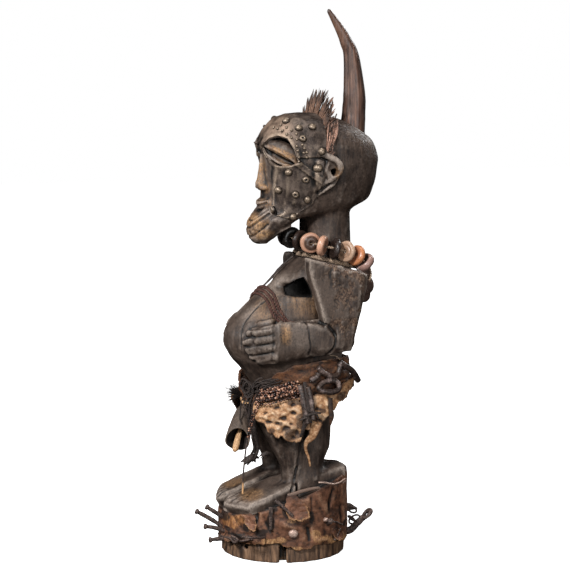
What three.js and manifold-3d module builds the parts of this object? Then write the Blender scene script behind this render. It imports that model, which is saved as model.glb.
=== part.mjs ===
// A Songye power figure: a carved wooden man on a round plinth, with a horn in the crown, sheet metal
// and tacks on the face, a feather crest, a seed necklace, ropes, hides, tubular links, beads, a bell,
// and a leather wrap full of nails round the plinth.
// Millimetres, +Z up. The figure faces -Y, its left is +X, the origin is the middle of the underside.
import * as THREE from 'three';
import { mergeVertices } from 'three/addons/utils/BufferGeometryUtils.js';
import Module from 'manifold-3d';

const wasm = await Module();
wasm.setup();

// Driving dimensions
const FIGURE_HEIGHT = 553; // from the plinth's top, at its middle, to the crown of the head
const PLINTH_RADIUS = 92;
const PLINTH_HEIGHT = 94; // at its middle
const PLINTH_SLOPE = (17 * Math.PI) / 180; // the top falls towards the toes
const PLINTH_SIDES = 24;
const CLEARANCE = 0.35; // between two pieces that touch
const HORN_LENGTH_ABOVE_CROWN = 155;
const HORN_SOCKET_DEPTH = 12;
const SHEET_THICKNESS = 1.2;
const TACK_RADIUS = 4.6;
const TACK_HEIGHT = 3;
const ROPE_STRAND_RADIUS = 2.4;
const ROPE_STRANDS = 3;
const NECKLACE_CORD_RADIUS = 2;
const SEED_RADIUS = 15.5;
const SEED_HALF_THICKNESS = 6.5;
const LINK_TUBE_RADIUS = 4;
const LINK_RING_RADIUS = 3.6;
const BEAD_RADIUS = 3.3;
const COLLAR_RADIUS = 3.4;
const BELL_LENGTH = 55;
const BELL_MOUTH_RADIUS = 17.5;
const BELL_WALL = 2.6;
const THONG_RADIUS = 1.3;
const WRAP_THICKNESS = 3.6;
const WRAP_BOTTOM = 30; // the bare wood band under the wrap
const NAIL_RADIUS = 2.1;
const NAIL_DEPTH = 14; // how far a nail goes into the wood
const NOTCH_WIDTH = 10;
const NOTCH_DEPTH = 16;
const HOLE_RADIUS = 4; // of the worm-eaten hole in the bare band

// The free form of the carving is held in shares of the figure's height: the tables below give real
// millimetres at 553 mm, with z above the plinth's top.
const SHARE = FIGURE_HEIGHT / 553;
const onFigure = (x, y, z) => new THREE.Vector3(x * SHARE, y * SHARE, PLINTH_HEIGHT + z * SHARE);

const vector = (...values) => new THREE.Vector3(...values);
const mirrored = (point, side) => vector(point.x * side, point.y, point.z);
const mix = (a, b, t) => a + (b - a) * t;

// Evenly spaced values, both ends included.
const range = (from, to, count) => Array.from({ length: count }, (_, i) => (
  from + ((to - from) * i) / (count - 1)));

// Values between the rows [turn, value] of a table, eased from row to row.
function eased(table, turn) {
  const after = table.findIndex((row) => row[0] >= turn);
  const upper = after < 0 ? table.length - 1 : Math.max(1, after);
  const [low, high] = [table[upper - 1], table[upper]];
  const t = Math.min(1, Math.max(0, (turn - low[0]) / (high[0] - low[0])));
  return mix(low[1], high[1], t * t * (3 - 2 * t));
}

// Closed meshes and solids

function closedMesh(points, faces) {
  let volume = 0;
  for (const [a, b, c] of faces) {
    volume += points[a].dot(vector().crossVectors(points[b], points[c]));
  }
  const outward = faces.map(([a, b, c]) => (volume < 0 ? [a, c, b] : [a, b, c]));
  const geometry = new THREE.BufferGeometry();
  const numbers = points.flatMap((point) => point.toArray());
  geometry.setAttribute('position', new THREE.Float32BufferAttribute(numbers, 3));
  geometry.setIndex(outward.flat());
  return geometry;
}

// Rings of equally many points become a closed skin. Joined rings close on themselves like a tyre.
function loft(rings, joined = false) {
  const sides = rings[0].length;
  const points = rings.flat();
  const faces = [];
  const spans = joined ? rings.length : rings.length - 1;
  for (let row = 0; row < spans; row += 1) {
    const here = row * sides;
    const there = ((row + 1) % rings.length) * sides;
    for (let i = 0; i < sides; i += 1) {
      const next = (i + 1) % sides;
      faces.push([here + i, here + next, there + next], [here + i, there + next, there + i]);
    }
  }
  if (!joined) {
    const last = (rings.length - 1) * sides;
    const first = points.push(middleOf(rings[0])) - 1;
    const end = points.push(middleOf(rings.at(-1))) - 1;
    for (let i = 0; i < sides; i += 1) {
      const next = (i + 1) % sides;
      faces.push([first, next, i], [end, last + i, last + next]);
    }
  }
  return closedMesh(points, faces);
}

function middleOf(ring) {
  const sum = ring.reduce((total, point) => total.add(point), vector());
  return sum.divideScalar(ring.length);
}

function solid(geometry) {
  const bare = geometry.clone();
  bare.deleteAttribute('normal');
  bare.deleteAttribute('uv');
  const merged = mergeVertices(bare, 1e-4);
  const vertProperties = Float32Array.from(merged.attributes.position.array);
  const triVerts = Uint32Array.from(merged.index.array);
  return new wasm.Manifold(new wasm.Mesh({ numProp: 3, vertProperties, triVerts }));
}

const joinAll = (solids) => wasm.Manifold.union(solids);
const cutAll = (host, cutters) => cutters.reduce((left, cutter) => left.subtract(cutter), host);

// The largest connected skin of a body, which leaves out crumbs and pinholes that a cut made.
function largestPart(body) {
  const parts = body.decompose();
  return parts.reduce((best, part) => (part.volume() > best.volume() ? part : best));
}

function geometryOf(body) {
  const mesh = body.getMesh();
  const geometry = new THREE.BufferGeometry();
  geometry.setAttribute('position', new THREE.BufferAttribute(mesh.vertProperties, 3));
  geometry.setIndex(new THREE.BufferAttribute(mesh.triVerts, 1));
  return geometry;
}

function box(size, centre, turn = [0, 0, 0]) {
  const geometry = new THREE.BoxGeometry(...size);
  geometry.rotateX(turn[0]).rotateY(turn[1]).rotateZ(turn[2]);
  geometry.translate(centre.x, centre.y, centre.z);
  return solid(geometry);
}

// A large block that ends at a plane through a spot. At a tilt of 0 it lies under the plane, and the
// tilt turns it about X, so that a quarter turn puts it behind the plane.
function beyond(spot, tilt) {
  const size = 8 * PLINTH_RADIUS;
  const out = vector(0, -Math.sin(tilt), Math.cos(tilt));
  return box([size, size, size], spot.clone().addScaledVector(out, -size / 2), [tilt, 0, 0]);
}

// One turn of a squared oval, as pairs from -1 to 1.
function ovalTurn(sides, square) {
  const power = 2 / square;
  return Array.from({ length: sides }, (_, i) => {
    const angle = ((i + 0.5) / sides) * 2 * Math.PI;
    const bend = (value) => Math.sign(value) * Math.abs(value) ** power;
    return [bend(Math.cos(angle)), bend(Math.sin(angle))];
  });
}

// A level ring of the carving: [z, front, back, half width, middle x].
function levelRing([z, front, back, half, x = 0], { sides, square, grow = 0, side = 1 }) {
  const centre = onFigure(x * side, (front + back) / 2, z);
  const across = half * SHARE + grow;
  const along = ((back - front) / 2) * SHARE + grow;
  return ovalTurn(sides, square).map(([u, v]) => vector(u * across, v * along, 0).add(centre));
}

function levelForm(table, options) {
  const rings = table.map((row) => levelRing(row, options));
  const grow = options.grow ?? 0;
  const ends = [rings[0], rings.at(-1)];
  const down = rings[0][0].z < rings.at(-1)[0].z ? -1 : 1;
  ends[0].forEach((point) => point.add(vector(0, 0, down * grow)));
  ends[1].forEach((point) => point.add(vector(0, 0, -down * grow)));
  return loft(rings);
}

// The level of a form between the rows of its table: [front, back, half width].
function levelAt(table, z) {
  const above = table.findIndex((row) => row[0] >= z);
  const upper = above < 0 ? table.length - 1 : Math.max(1, above);
  const [low, high] = [table[upper - 1], table[upper]];
  const t = (z - low[0]) / (high[0] - low[0]);
  return [1, 2, 3].map((column) => mix(low[column], high[column], t));
}

// The spot on a level form at a turn in degrees, 0 at its left side and -90 in front, moved outward.
function pointOn(table, square, turn, z, offset) {
  const [front, back, half] = levelAt(table, z);
  const angle = (turn * Math.PI) / 180;
  const bend = (value) => Math.sign(value) * Math.abs(value) ** (2 / square);
  const centre = onFigure(0, (front + back) / 2, z);
  const across = bend(Math.cos(angle)) * (half * SHARE + offset);
  const along = bend(Math.sin(angle)) * (((back - front) / 2) * SHARE + offset);
  return centre.add(vector(across, along, 0));
}

// The half width of a level form at a place on its side.
function halfWidthAt(table, square, y, z) {
  const [front, back, half] = levelAt(table, z);
  const share = Math.min(1, Math.abs((2 * y - front - back) / (back - front)));
  return half * (1 - share ** square) ** (1 / square);
}

// A limb along points, with a squared oval section: half sizes across x and across the limb.
function limb(points, halves, { sides = 10, square = 2.6, across = vector(1, 0, 0), grow = 0 } = {}) {
  const last = points.length - 1;
  const rings = points.map((point, i) => {
    const ahead = points[Math.min(last, i + 1)];
    const behind = points[Math.max(0, i - 1)];
    const tangent = ahead.clone().sub(behind).normalize();
    const width = across.clone().addScaledVector(tangent, -across.dot(tangent)).normalize();
    const depth = vector().crossVectors(tangent, width);
    const stretch = i === 0 ? -grow : i === last ? grow : 0;
    const centre = point.clone().addScaledVector(tangent, stretch);
    return ovalTurn(sides, square).map(([u, v]) => centre.clone()
      .addScaledVector(width, u * (halves[i][0] + grow))
      .addScaledVector(depth, v * (halves[i][1] + grow)));
  });
  return loft(rings);
}

// A round bar along a smooth curve. Its radius may taper, and its ends may meet.
function bar(points, radius, { sides = 8, steps = 12, joined = false, taper = () => 1, grow = 0 } = {}) {
  const curve = new THREE.CatmullRomCurve3(points, joined);
  const frames = curve.computeFrenetFrames(steps, joined);
  const count = joined ? steps : steps + 1;
  const rings = Array.from({ length: count }, (_, i) => {
    const centre = curve.getPointAt(i / steps);
    if (!joined && grow > 0 && i === 0) centre.addScaledVector(frames.tangents[0], -grow);
    if (!joined && grow > 0 && i === steps) centre.addScaledVector(frames.tangents[steps], grow);
    const size = radius * taper(i / steps) + grow;
    return ovalTurn(sides, 2).map(([u, v]) => centre.clone()
      .addScaledVector(frames.normals[i], u * size)
      .addScaledVector(frames.binormals[i], v * size));
  });
  return loft(rings, joined);
}

// A ball of level rings, put in place by a function of three offsets from -1 to 1.
function ball(place, sides = 8) {
  const rings = [-62, 0, 62].map((degrees) => {
    const height = Math.sin((degrees * Math.PI) / 180);
    const size = Math.cos((degrees * Math.PI) / 180);
    return ovalTurn(sides, 2).map(([u, v]) => place(u * size, v * size, height));
  });
  return solid(loft(rings));
}

// The carving: squared oval levels [z, front, back, half width]
const TORSO = [
  [128, -30, 80, 56], [150, -42, 90, 64], [178, -60, 91, 68], [198, -79, 89, 69],
  [218, -90, 86, 69], [238, -89, 83, 66], [254, -79, 82, 62], [278, -51, 84, 58],
  [301, -27, 88, 58], [320, -4, 94, 64], [338, 18, 99, 70], [350, 33, 97, 60],
];
const TORSO_SQUARE = 2.3;
const TORSO_SIDES = 16;
const HEAD = [
  [366, -42, -26, 12], [374, -47, -16, 20], [387, -47, 0, 28], [404, -40, 24, 39],
  [415, -36, 104, 46], [428, -33, 134, 51], [456, -31, 143, 58], [488, -33, 148, 61],
  [512, -36, 140, 60], [532, -29, 122, 49], [546, -13, 90, 35], [553, 8, 50, 15],
];
const HEAD_SQUARE = 2.2;
const HEAD_SIDES = 16;
const NECK = [[320, 26, 106, 41], [362, 28, 104, 38], [418, 29, 101, 38]];
const LEG = [
  [22, -20, 47, 26, 43], [38, -18, 44, 24, 42], [66, -33, 59, 27, 41],
  [106, -55, 62, 30, 38], [128, -52, 66, 31, 36], [150, -44, 76, 30, 33],
];
const UPPER_ARM = [
  [342, 31, 96, 19, 74], [332, 29, 102, 23, 74], [306, 32, 99, 17, 79],
  [268, 47, 89, 14, 82], [213, 54, 76, 11, 80],
];
const NOSE = [[498, -37, 0, 5], [470, -40, 0, 8], [452, -43, 0, 13], [443, -38, 0, 13]];

const NECK_SIDES = 14;
const NECK_SQUARE = 2.3;

// The upright rings of the forearm: [y, x, z, half width, half height]
const FOREARM = [
  [80, 79, 236, 11, 15], [60, 79, 235, 15, 25], [30, 77, 235, 16, 28],
  [-18, 72, 232, 11, 31], [-44, 67, 226, 8, 31], [-58, 58, 222, 6, 27],
];
const FINGER_TOPS = [254, 242, 230, 219, 208]; // heights of the knuckles
const FINGER_DROP = [14, 15, 13, 13, 12];
const FINGER_TIPS = [-72, -77, -74, -68, -58];

// The turns of the torso's upright edges in degrees, from -90 in front to 270.
const TORSO_TURNS = Array.from({ length: TORSO_SIDES }, (_, i) => {
  const turn = ((i + 0.5) / TORSO_SIDES) * 360;
  return turn > 270 ? turn - 360 : turn;
}).sort((a, b) => a - b);

// The shoulders slope down to the back from their front edge.
const SHOULDER_SLOPE = 0.27;
const SHOULDER_FRONT = [31, 345];

function shoulderTop(y) {
  const fall = Math.max(0, y - SHOULDER_FRONT[0]) * Math.tan(SHOULDER_SLOPE);
  return SHOULDER_FRONT[1] - fall;
}

function aboveShoulders(grow) {
  const edge = onFigure(0, ...SHOULDER_FRONT).add(vector(0, 0, grow));
  return beyond(edge, Math.PI - SHOULDER_SLOPE);
}

function torsoForm(grow) {
  const body = levelForm(TORSO, { sides: TORSO_SIDES, square: TORSO_SQUARE, grow });
  return solid(body).subtract(aboveShoulders(grow));
}

function headForm(grow) {
  return solid(levelForm(HEAD, { sides: HEAD_SIDES, square: HEAD_SQUARE, grow }));
}

function neckForm(grow) {
  return solid(levelForm(NECK, { sides: NECK_SIDES, square: NECK_SQUARE, grow }));
}

function legForm(side, grow) {
  return solid(levelForm(LEG, { sides: 8, square: 2.6, grow, side }));
}

// The block of arm and shoulder is trimmed along the slope of the shoulders.
function upperArmForm(side, grow) {
  const block = solid(levelForm(UPPER_ARM, { sides: 8, square: 4, grow, side }));
  return block.subtract(aboveShoulders(grow));
}

function forearmForm(side, grow) {
  const points = FOREARM.map(([y, x, z]) => onFigure(x * side, y, z));
  const halves = FOREARM.map(([, , , half, height]) => [half * SHARE, height * SHARE]);
  return solid(limb(points, halves, { sides: 8, square: 3, grow }));
}

function fingerForm(side, index) {
  const knuckle = FINGER_TOPS[index];
  const tip = FINGER_TIPS[index];
  const stations = [0, 0.75, 1];
  const points = stations.map((t) => {
    const y = mix(-40, tip, t);
    const z = knuckle - FINGER_DROP[index] * t;
    const x = halfWidthAt(TORSO, TORSO_SQUARE, y, z) + mix(4, 1.5, t);
    return onFigure(x * side, y, z);
  });
  const halves = [[6, 7.4], [6, 7.4], [3.4, 4]].map((pair) => pair.map((v) => v * SHARE));
  return solid(limb(points, halves, { sides: 4, square: 2.4 }));
}

// A foot is cut in the tilted plane of the plinth's top: x, distance along the slope, height above it.
function onSlope(x, along, height) {
  const drop = Math.sin(PLINTH_SLOPE);
  const run = Math.cos(PLINTH_SLOPE);
  return vector(x * SHARE, (along * run - height * drop) * SHARE,
    PLINTH_HEIGHT + (along * drop + height * run) * SHARE);
}

const FOOT_OUTLINE = [
  [24, 84], [44, 91], [62, 83], [67, 20], [75, -50], [70, -79],
  [50, -89], [34, -95], [18, -101], [5, -92], [6, -20], [14, 60],
];
const FOOT_LEVELS = [[-0.9, 0.95], [11, 1], [16, 0.9]];

// The foot's top rises to the instep and towards its inner side.
function footForm(side, grow) {
  const middle = [42, -8];
  const rings = FOOT_LEVELS.map(([height, size], level) => FOOT_OUTLINE.map(([x, along]) => {
    const instep = level < 1 ? 0 : 9 * Math.exp(-(((along - 10) / 45) ** 2)) + (75 - x) * 0.07;
    const outX = middle[0] + (x - middle[0]) * (size + grow / 34);
    const outAlong = middle[1] + (along - middle[1]) * (size + grow / 96);
    const lift = level < 1 ? -grow : grow;
    return onSlope(outX * side, outAlong, height + instep + lift);
  }));
  return solid(loft(rings));
}

function toeGap(side, x, along) {
  const points = [onSlope(x * side, along - 8, 9), onSlope((x + 1) * side, along + 13, 13)];
  return solid(limb(points, [[1.3, 12], [0.4, 3]], { sides: 4, square: 2 }));
}

// The plinth is a cylinder whose top follows the slope, with its sides at even turns.
const PLINTH_TURNS = Array.from({ length: PLINTH_SIDES }, (_, i) => (i / PLINTH_SIDES) * 2 * Math.PI);
const slopeTop = (y) => PLINTH_HEIGHT + y * Math.tan(PLINTH_SLOPE);

function roundPlinth(angle, radius, height) {
  return vector(Math.cos(angle) * radius, Math.sin(angle) * radius, height);
}

function plinthForm() {
  const foot = PLINTH_TURNS.map((angle) => roundPlinth(angle, PLINTH_RADIUS, 0));
  const top = foot.map((point) => point.clone().setZ(slopeTop(point.y)));
  return solid(loft([foot, top]));
}

// A weathered notch and a worm-eaten hole in the bare band, at angles round the plinth.
const NOTCH_ANGLE = (-20 * Math.PI) / 180;
const HOLE_ANGLE = (-57 * Math.PI) / 180;

function plinthDamage() {
  const notch = box([2 * NOTCH_DEPTH, NOTCH_WIDTH, 2 * WRAP_BOTTOM], roundPlinth(NOTCH_ANGLE,
    PLINTH_RADIUS, -3), [0, 0, NOTCH_ANGLE]);
  const hole = bar([roundPlinth(HOLE_ANGLE, PLINTH_RADIUS - 9, 20),
    roundPlinth(HOLE_ANGLE, PLINTH_RADIUS + 6, 20)], HOLE_RADIUS, { sides: 6, steps: 1 });
  return [notch, solid(hole)];
}

// The eye lies in its own frame: along the slit towards the ear, up, and out of the face.
const EYE_INNER = [11, -35, 508];
const EYE_OUTER = [45, 12, 484];

function eyeFrame(side) {
  const inner = mirrored(onFigure(...EYE_INNER), side);
  const outer = mirrored(onFigure(...EYE_OUTER), side);
  const along = outer.clone().sub(inner).normalize();
  const out = vector(0.82 * side, -0.57, 0.08);
  out.addScaledVector(along, -out.dot(along)).normalize();
  const up = vector().crossVectors(out, along).multiplyScalar(side);
  if (up.z < 0) up.negate();
  const centre = inner.lerp(outer, 0.48);
  return (a, b, c) => centre.clone().addScaledVector(along, a * SHARE)
    .addScaledVector(up, b * SHARE).addScaledVector(out, c * SHARE);
}

const SOCKET_OUTLINE = [
  [-30, 0], [-24, 14], [-13, 24], [2, 26], [17, 17], [31, 1], [18, -9], [2, -15], [-14, -11],
];

function eyeSocket(side, grow) {
  const place = eyeFrame(side);
  const rings = [-7, 26].map((depth) => SOCKET_OUTLINE.map(([a, b]) => {
    const wider = 1 + grow / 22;
    return place(a * wider, b * wider, depth);
  }));
  return solid(loft(rings));
}

function eyeBall(side, centre, half, grow = 0, sides = 8) {
  const place = eyeFrame(side);
  const swell = (unit) => unit.map((v, axis) => centre[axis] + v * (half[axis] + grow));
  return ball((...unit) => place(...swell(unit)), sides);
}

function eyeLids(side, grow) {
  return [eyeBall(side, [-1, 7, -3], [27, 13, 9], grow), eyeBall(side, [3, -7, -3], [22, 5, 7], grow, 5)];
}

function eyeSlit(side) {
  const place = eyeFrame(side);
  const points = [place(-26, -1, 2), place(1, -3, 4), place(27, 0, 0)];
  const halves = [[0.8, 3], [2.4, 7], [0.8, 3]];
  const up = place(0, 1, 0).sub(place(0, 0, 0)).normalize();
  return solid(limb(points, halves, { sides: 4, square: 2, across: up }));
}

// Lips are two slabs that run forward and down out of the face, with a lip block under the nose.
const LIPS = [
  { from: [0, -14, 416], to: [0, -49, 396], wide: [30, 20], thick: [6, 5.5] },
  { from: [0, -10, 397], to: [0, -40, 377], wide: [28, 17], thick: [6, 5.5] },
  { from: [0, -12, 430], to: [0, -37, 427], wide: [24, 14], thick: [6.5, 6] },
];

function lipForm({ from, to, wide, thick }, grow) {
  const [start, end] = [onFigure(...from), onFigure(...to)];
  const points = [0, 0.86, 1.06].map((t) => start.clone().lerp(end, t));
  const rounding = [[0, 1, 1], [0.8, 1, 1], [1.15, 0.8, 0.6]];
  const halves = rounding.map(([t, width, thickness]) => [
    mix(wide[0], wide[1], t) * width * SHARE, mix(thick[0], thick[1], t) * thickness * SHARE,
  ]);
  return solid(limb(points, halves, { sides: 10, square: 2.8, grow }));
}

// Ears are a raised C round a hollow, with a tail along the jaw.
const EAR_LINE = [
  [56, 43, 497], [64, 55, 501], [70, 68, 488], [68, 68, 470], [61, 56, 455], [56, 42, 445],
  [50, 30, 436],
];

function earForm(side, grow) {
  const points = EAR_LINE.map((spot) => mirrored(onFigure(...spot), side));
  const rim = bar(points, 5 * SHARE, { sides: 4, steps: 6, taper: (t) => 1.1 - 0.7 * t, grow });
  const spot = mirrored(onFigure(59, 55, 476), side);
  const ends = [-6 * SHARE, 6 * SHARE].map((x) => spot.clone().add(vector(x, 0, 0)));
  const halves = ends.map(() => [20 * SHARE, 13 * SHARE]);
  const plate = limb(ends, halves, { sides: 6, square: 2, across: vector(0, 0, 1), grow });
  return solid(rim).add(solid(plate));
}

function earHole(side) {
  const spots = [[50, 55, 474], [74, 57, 475]].map((spot) => mirrored(onFigure(...spot), side));
  return solid(bar(spots, 5 * SHARE, { sides: 6, steps: 1 }));
}

// The horn stands in a socket in the crown and curves forward to its tip.
const HORN_LINE = [[109, 0], [112, 0.3], [107, 0.62], [98.5, 0.74], [90, 0.83], [70, 1]];
const HORN_HALVES = [19, 17, 12, 9.5, 7.6, 0.9];
const HORN_FOOT = 530 - HORN_SOCKET_DEPTH / 2;

function hornForm(grow) {
  const top = 553 + HORN_LENGTH_ABOVE_CROWN / SHARE;
  const points = HORN_LINE.map(([y, t]) => onFigure(0, y, mix(HORN_FOOT, top, t)));
  const halves = HORN_HALVES.map((half) => [half * 0.92 * SHARE, half * SHARE]);
  return solid(limb(points, halves, { sides: 12, square: 2, grow }));
}

// Three strands of rope lie flat on the torso, over the belly and through the armpits.
const ROPE_LINE = [ // turn round the body in degrees, and height
  [-90, 299], [-65, 295], [-42, 281], [-24, 266], [-4, 256], [18, 250], [45, 247], [90, 246],
];
const ROPE_SEAT = 4 * CLEARANCE;

// The section's outer side has a crest for each strand: distance out of the skin, and upward.
function ropeSection() {
  const pitch = 2 * ROPE_STRAND_RADIUS;
  const half = ((ROPE_STRANDS - 1) / 2) * pitch;
  const outer = [];
  for (let strand = 0; strand < ROPE_STRANDS; strand += 1) {
    const rise = strand * pitch - half;
    if (strand > 0) outer.push([ROPE_SEAT + 1.1 * ROPE_STRAND_RADIUS, rise - pitch / 2]);
    outer.push([ROPE_SEAT + pitch, rise]);
  }
  const edge = half + 0.8 * ROPE_STRAND_RADIUS;
  return [[ROPE_SEAT, -edge], ...outer, [ROPE_SEAT, edge]];
}

// The passage for the rope under the arms is a plain slot round that section.
function ropePassage() {
  const depth = ROPE_SEAT + 2 * ROPE_STRAND_RADIUS + CLEARANCE;
  const half = ROPE_STRANDS * ROPE_STRAND_RADIUS + CLEARANCE;
  return [[-depth, -half], [depth, -half], [depth, half], [-depth, half]];
}

// The rope's straight steps lie along the faces of the torso.
function ropeLoop(section) {
  const place = (turn, rise) => {
    const z = eased(ROPE_LINE, turn <= 90 ? turn : 180 - turn);
    return pointOn(TORSO, TORSO_SQUARE, turn, z + rise, 0);
  };
  return solid(loft(TORSO_TURNS.map((turn) => {
    const [spot, step] = [place(turn, 0), 3];
    const along = place(turn + step, 0).sub(place(turn - step, 0)).normalize();
    const rise = place(turn, step).sub(place(turn, -step));
    const out = vector().crossVectors(along, rise).normalize();
    const up = vector().crossVectors(out, along);
    return section.map(([u, v]) => spot.clone().addScaledVector(out, u).addScaledVector(up, v));
  }), true));
}

function chestRecess(side) {
  const spot = mirrored(onFigure(40, -10, 302), side);
  return box([52 * SHARE, 46 * SHARE, 11 * SHARE], spot, [-0.2, 0, -0.35 * side]);
}

function carvedFigure() {
  const sides = [1, -1];
  const body = [torsoForm(0), neckForm(0), headForm(0), plinthForm()];
  const passage = ropeLoop(ropePassage());
  body.push(solid(levelForm(NOSE, { sides: 8, square: 2.4 })));
  for (const lip of LIPS) body.push(lipForm(lip, 0));
  for (const side of sides) {
    const arm = joinAll([upperArmForm(side, 0), forearmForm(side, 0)]).subtract(passage);
    body.push(legForm(side, 0), footForm(side, 0), arm);
    FINGER_TOPS.forEach((_, index) => body.push(fingerForm(side, index)));
  }
  const cuts = sides.flatMap((side) => [chestRecess(side), eyeSocket(side, 0)]);
  const carved = cutAll(joinAll(body), cuts);
  const added = sides.flatMap((side) => [...eyeLids(side, 0), earForm(side, 0)]);
  const toes = sides.flatMap((side) => [[63, -77], [51, -84], [38, -91], [25, -97]]
    .map(([x, along]) => toeGap(side, x, along)));
  const splits = [box([16, 3.4, 40], onFigure(68, -3, 16)), ...plinthDamage()];
  const last = [...sides.flatMap((side) => [eyeSlit(side), earHole(side)]), ...toes, ...splits];
  return cutAll(joinAll([carved, ...added]), [...last, hornForm(CLEARANCE)]);
}

// Sheet metal is beaten over the face from the brow to the jaw, leaving nose, eyes and lips free.
const TACKS = [ // depth and height on the side of the head
  [9, 538], [30, 540], [33, 506], [23, 486], [-11, 476], [17, 465], [23, 440], [-20, 422],
];
const TACK_SIDES = 5;
const CREST_Y = 52;

const behindSheet = (gap) => beyond(onFigure(0, 45 + gap, 510), Math.PI / 2 - 0.16);

function sheetForm() {
  const skin = headForm(CLEARANCE + SHEET_THICKNESS).subtract(headForm(CLEARANCE));
  const below = beyond(onFigure(0, 26, 434), 0.48);
  const mask = [onFigure(0, -24, 500), onFigure(0, -34, 444), onFigure(0, -34, 385)];
  const middle = limb(mask, [[13, 24], [20, 24], [36, 30]], { sides: 6, square: 3 });
  const cutters = [behindSheet(0), below, solid(middle)];
  for (const side of [1, -1]) cutters.push(eyeSocket(side, 2), earForm(side, 2 * CLEARANCE));
  return largestPart(cutAll(skin, cutters));
}

// A tack's domed head sits on the sheet, square to it.
function tackForm(side, y, z) {
  const spot = (dy, dz) => {
    const half = halfWidthAt(HEAD, HEAD_SQUARE, y + dy, z + dz);
    return onFigure(half * side, y + dy, z + dz);
  };
  const alongY = spot(3, 0).sub(spot(-3, 0));
  const alongZ = spot(0, 3).sub(spot(0, -3));
  const out = vector().crossVectors(alongY, alongZ).normalize();
  if (out.x * side < 0) out.negate();
  const foot = spot(0, 0).addScaledVector(out, CLEARANCE + SHEET_THICKNESS - 0.6);
  const points = [0, TACK_HEIGHT].map((height) => foot.clone().addScaledVector(out, height));
  const halves = [1, 0.55].map((size) => [size * TACK_RADIUS, size * TACK_RADIUS]);
  return solid(limb(points, halves, { sides: TACK_SIDES, square: 2, across: vector(0, 1, 0) }));
}

function tackedSheet() {
  const tacks = [1, -1].flatMap((side) => TACKS.map(([y, z]) => tackForm(side, y, z)));
  return largestPart(joinAll([sheetForm(), ...tacks]));
}

// The crest is a fan of stiff feathers that crosses the head behind the sheet, ear to ear.
const CREST_CENTRE = [0, 488];
const CREST_HEIGHTS = [4, 8, 18, 30, 38, 35, 38, 30, 18, 8, 4];
const CREST_NOTCH = 6;
const CREST_DEPTH = 4;
const CREST_RADIUS = 65;
const CREST_ENDS = 0.13; // the turn between the fan's ends and the level, in radians
const CREST_LEAN = 0.32;

function featherCrest() {
  const count = CREST_HEIGHTS.length;
  const place = (step, reach) => {
    const angle = mix(CREST_ENDS, Math.PI - CREST_ENDS, step / count);
    const radius = CREST_RADIUS + reach;
    return new THREE.Vector2(CREST_CENTRE[0] + Math.cos(angle) * radius,
      CREST_CENTRE[1] + Math.sin(angle) * radius);
  };
  const outline = [];
  CREST_HEIGHTS.forEach((height, i) => {
    outline.push(place(i + 0.15, Math.max(2, height - CREST_NOTCH)));
    outline.push(place(i + 0.6, height));
  });
  for (const step of range(count, 0, 5)) outline.push(place(step, -7));
  const shape = new THREE.Shape(outline.map((spot) => spot.multiplyScalar(SHARE)));
  const fan = new THREE.ExtrudeGeometry(shape, { depth: CREST_DEPTH, bevelEnabled: false, steps: 1 });
  fan.rotateX(Math.PI / 2).translate(0, CREST_Y * SHARE, PLINTH_HEIGHT);
  const spots = fan.attributes.position;
  const middle = onFigure(CREST_CENTRE[0], 0, CREST_CENTRE[1]);
  for (let i = 0; i < spots.count; i += 1) {
    const away = Math.hypot(spots.getX(i) - middle.x, spots.getZ(i) - middle.z);
    const reach = Math.max(0, away - CREST_RADIUS * SHARE);
    spots.setY(i, spots.getY(i) + reach * CREST_LEAN);
  }
  const inFront = headForm(SHEET_THICKNESS + 3 * CLEARANCE).subtract(behindSheet(CLEARANCE));
  const ears = [1, -1].map((side) => earForm(side, CLEARANCE));
  const cutters = [headForm(CLEARANCE), inFront, ...ears];
  return largestPart(cutAll(solid(fan), cutters));
}

// The necklace rings the neck in front and falls behind the shoulders, with flat seeds on its cord.
const NECKLACE_LINE = [ // from the front, round the left side, to the back
  [0, 7, 374], [13, 10, 374], [31, 20, 371], [48, 40, 366], [56, 74, 357], [50, 100, 347],
  [51, 118, 325], [50, 114, 304], [36, 104, 286], [0, 94, 277],
];
const SEED_SPANS = [0, 1, 2, 3, 4, 5, 6, 7, -2, -3, -5]; // steps of the cord, left ones first
const NECKLACE_STEPS = 26;
const SEED_SIDES = 8;

function necklaceLine() {
  const near = NECKLACE_LINE.map((spot) => onFigure(...spot));
  const far = near.slice(1, -1).reverse().map((point) => mirrored(point, -1));
  return [...near, ...far];
}

function necklaceCord(grow) {
  const options = { sides: 4, steps: NECKLACE_STEPS, joined: true, grow };
  return solid(bar(necklaceLine(), NECKLACE_CORD_RADIUS, options));
}

// A seed is a thick round bean with a bore, threaded on one straight step of the cord.
function seedForm(span) {
  const curve = new THREE.CatmullRomCurve3(necklaceLine(), true);
  const [start, end] = [span, span + 1].map((step) => (
    curve.getPointAt(((step + NECKLACE_STEPS) % NECKLACE_STEPS) / NECKLACE_STEPS)));
  const along = end.clone().sub(start).normalize();
  const centre = start.lerp(end, 0.5);
  const across = vector().crossVectors(along, vector(0, 0, 1)).normalize();
  const up = vector().crossVectors(across, along);
  const bore = (NECKLACE_CORD_RADIUS + CLEARANCE) / Math.cos(Math.PI / SEED_SIDES);
  const profile = [[bore, -1], [SEED_RADIUS, -0.5], [SEED_RADIUS, 0.5], [bore, 1]];
  return solid(loft(ovalTurn(SEED_SIDES, 2).map(([u, v]) => profile.map(([radius, t]) => (
    centre.clone().addScaledVector(across, u * radius).addScaledVector(up, v * radius)
      .addScaledVector(along, t * SEED_HALF_THICKNESS)))), true));
}

// A twisted cord lies round the foot of the neck, in the corner over the shoulders.
const COLLAR_GAP = 3 * CLEARANCE;

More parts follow.
